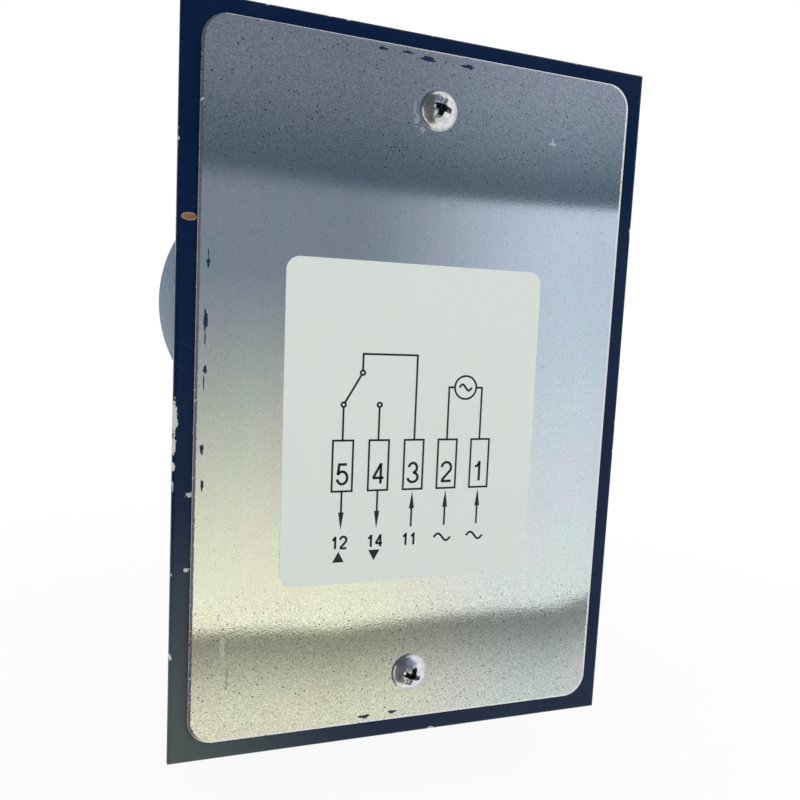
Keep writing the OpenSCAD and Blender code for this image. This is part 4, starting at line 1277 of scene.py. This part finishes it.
floor_mesh = bpy.data.meshes.new("floor")
signs = ((-1, -1), (1, -1), (1, 1), (-1, 1))
floor_mesh.from_pydata([(x * FLOOR_REACH, y * FLOOR_REACH, FLOOR_Z) for x, y in signs], [], [(0, 1, 2, 3)])
floor = put("floor", floor_mesh)
floor.visible_glossy = False

floor_paint, tree = new_finish("pale_floor")
surface = tree.nodes["Principled BSDF"]
surface.inputs["Base Color"].default_value = (0.93, 0.93, 0.93, 1)
surface.inputs["Roughness"].default_value = 0.9
surface.inputs["Specular IOR Level"].default_value = 0.0
away = vector("DISTANCE", place_in(tree), (0.018, 0.0, FLOOR_Z))
far = ramp(away, 0.06, 0.30, start=0.93, curve="SMOOTHERSTEP")
glow = add(tree, "Emission", 0, {"Color": (1, 1, 1, 1), "Strength": 1.0})
feeds = {0: far * seen_rays(tree), 1: Signal(tree, surface.outputs[0]), 2: glow}
light_up(tree, add(tree, "MixShader", 0, feeds))
floor_mesh.materials.append(floor_paint)
print("floor at", round(FLOOR_Z / MM, 2), "mm")

# %% World
WORLD_LIGHT = 0.62
world = bpy.data.worlds.new("white_room")
bpy.context.scene.world = world
world.use_nodes = True
tree = world.node_tree
backdrop = tree.nodes["Background"]
backdrop.inputs["Color"].default_value = (1, 1, 1, 1)
plug(tree, backdrop.inputs["Strength"], seen_rays(tree) * (1.0 - WORLD_LIGHT) + WORLD_LIGHT)
print("as light the world has", WORLD_LIGHT, "of its white")

# %% Lamps


def soft_lamp(name, at, watts, size):
    """A square area lamp that faces the middle of the housing and isn't mirrored."""
    data = bpy.data.lights.new(name, "AREA")
    data.energy = watts
    data.size = size
    lamp = put(name, data)
    ahead = housing_centre - np.array(at)
    ahead /= np.linalg.norm(ahead)
    side = np.cross(ahead, [0, 0, 1.0])
    side /= np.linalg.norm(side)
    aim(lamp, side, np.cross(side, ahead), ahead, at)
    lamp.visible_glossy = False
    print(name, "gives", watts, "W")


soft_lamp("key", (0.9, -1.2, 1.1), 6.0, 0.9)
soft_lamp("fill", (-1.2, -0.9, 0.5), 3.0, 1.2)
soft_lamp("back", (-0.4, 1.5, 0.9), 5.0, 1.2)

# %% [markdown]
# ## The room that the cover mirrors
# Half of the cover's look is the room in front of it: a dark ceiling that ends in a straight
# edge, a wall that brightens to the right, a pale sheet below and a painted shadow of the switch under its
# lower border.
# A bent card far in front of the switch carries these bands. Only reflections see it: it lights
# nothing, so the level of the studio stays plain. Its colour is a formula of azimuth, counted
# from straight ahead to the right, and of elevation.

# %% Colours of the room
CEILING_LOW = np.array([0.098, 0.140, 0.183])
CEILING_HIGH = np.array([0.210, 0.242, 0.297])
WALL_DIM = np.array([0.258, 0.308, 0.363])
WALL_BRIGHT = np.array([0.70, 0.81, 0.95])
SHEET_CREAM = np.array([1.19, 1.17, 0.86])
SHEET_COOL = np.array([0.97, 1.03, 0.985])
LEFT_DARK = np.array([0.10, 0.11, 0.125])
LEFT_BROWN = np.array([0.17, 0.125, 0.13])


def between(first, second, share):
    """A colour between two, for a whole array of shares."""
    return first + (second - first) * share[..., None]


def room_light(azimuth, elevation):
    """Colour of the room by direction, in degrees.

    Below the ledge the wall turns into the sheet, which gets lighter downwards up to the shadow's edge;
    under that edge a painted shadow of the switch on the table starts dark and recovers within a few degrees.
    Above the ledge the ceiling starts dark and gets lighter upwards. On the left the room is dark, with a
    brownish part in it. Far from the middle everything fades to white.
    """
    rightwards = ease(13, 32, azimuth)
    wall = between(WALL_DIM, WALL_BRIGHT, np.clip(rightwards + 0.7 * ease(-4.2, -6, azimuth), 0, 1))
    fall = (4.5 - elevation) / 29
    sheet = between(SHEET_CREAM, SHEET_COOL, rightwards)
    lower = between(wall, sheet, 0.5 * ease(0, 1, fall) + 0.5 * np.clip(fall, 0, 1))
    # Painted shadow: the switch's own shadow on the table as the cover mirrors it, darkest just under its
    # edge and recovering within 6.5 degrees
    shadow_edge = -24.1 + 0.16 * np.clip(azimuth - 14, 0, 40) + 0.3 * np.clip(azimuth - 32, 0, 6)
    depth = shadow_edge - elevation
    lower = lower * np.where(depth > 0, 0.26 + 0.54 * ease(0, 6.5, depth), 1.0)[..., None]
    ledge = 11.65 - 0.052 * np.clip(azimuth - 6, 0, 40)
    over = elevation - ledge
    ceiling = between(CEILING_LOW, CEILING_HIGH, ease(0, 9, over))
    ceiling = ceiling * (1 + rightwards * (0.15 + 0.45 * ease(0, 5, over)))[..., None]
    soft = 1.05 - 0.75 * ease(3, 28, azimuth)
    room = between(lower, ceiling, ease(0, 1, (over + soft) / (2 * soft)))
    left = 0.9 * ease(-9, -14, azimuth) * ease(-66, -56, elevation)
    brown = left * ease(-22, -30, azimuth) * ease(-56, -44, azimuth) * ease(30, 14, elevation)
    room = between(between(room, LEFT_DARK, left), LEFT_BROWN, brown)
    fades = [
        ease(80, 84, elevation), ease(-70, -78, elevation), ease(-36, -44, elevation) * ease(-9, 12, azimuth),
        ease(41, 48, azimuth), ease(-76, -90, azimuth) * ease(25, 5, elevation),
    ]
    return between(room, np.ones(3), np.max(fades, axis=0))


print("straight ahead the room is", np.round(room_light(np.zeros(1), np.zeros(1))[0], 2))

# %% Paint and hang the card
CARD_R = 20.0
azimuth_steps = np.concatenate([
    np.linspace(-110, -8, 52), np.linspace(-7.7, 42, 167), np.linspace(43, 96, 28),
])
elevation_steps = np.concatenate([
    np.linspace(-80, -36, 45), np.linspace(-35.8, 20, 559), np.linspace(20.5, 86, 66),
])
azimuth, elevation = np.meshgrid(azimuth_steps, elevation_steps, indexing="ij")
turn, rise = np.radians(azimuth), np.radians(elevation)
card_rows = np.stack([np.cos(rise) * np.sin(turn), -np.cos(rise) * np.cos(turn), np.sin(rise)], axis=-1)
card_points, card_faces = grid(card_rows * CARD_R + housing_centre, wrap_columns=False)
card_mesh = bpy.data.meshes.new("room_card")
card_mesh.from_pydata(card_points.tolist(), [], card_faces.tolist())
card_colour = card_mesh.color_attributes.new("room", "FLOAT_COLOR", "POINT")
painted = np.ones((len(card_points), 4))
painted[:, :3] = room_light(azimuth, elevation).reshape(-1, 3)
card_colour.data.foreach_set("color", painted.ravel())
card = put("room_card", card_mesh)
card.visible_camera = False
card.visible_diffuse = False
card.visible_shadow = False
card.visible_transmission = False

card_light, tree = new_finish("room_card")
tree.nodes.remove(tree.nodes["Principled BSDF"])
shown = add(tree, "VertexColor", 0, layer_name="room")
light_up(tree, add(tree, "Emission", 0, {"Color": shown, "Strength": 1.0}))
card_mesh.materials.append(card_light)
print("card has", len(card_faces), "faces")

# %% [markdown]
# ## Look of the picture
# The view transform is Standard, so a colour in the picture is the colour of the scene.

# %% View
bpy.context.scene.view_settings.view_transform = "Standard"
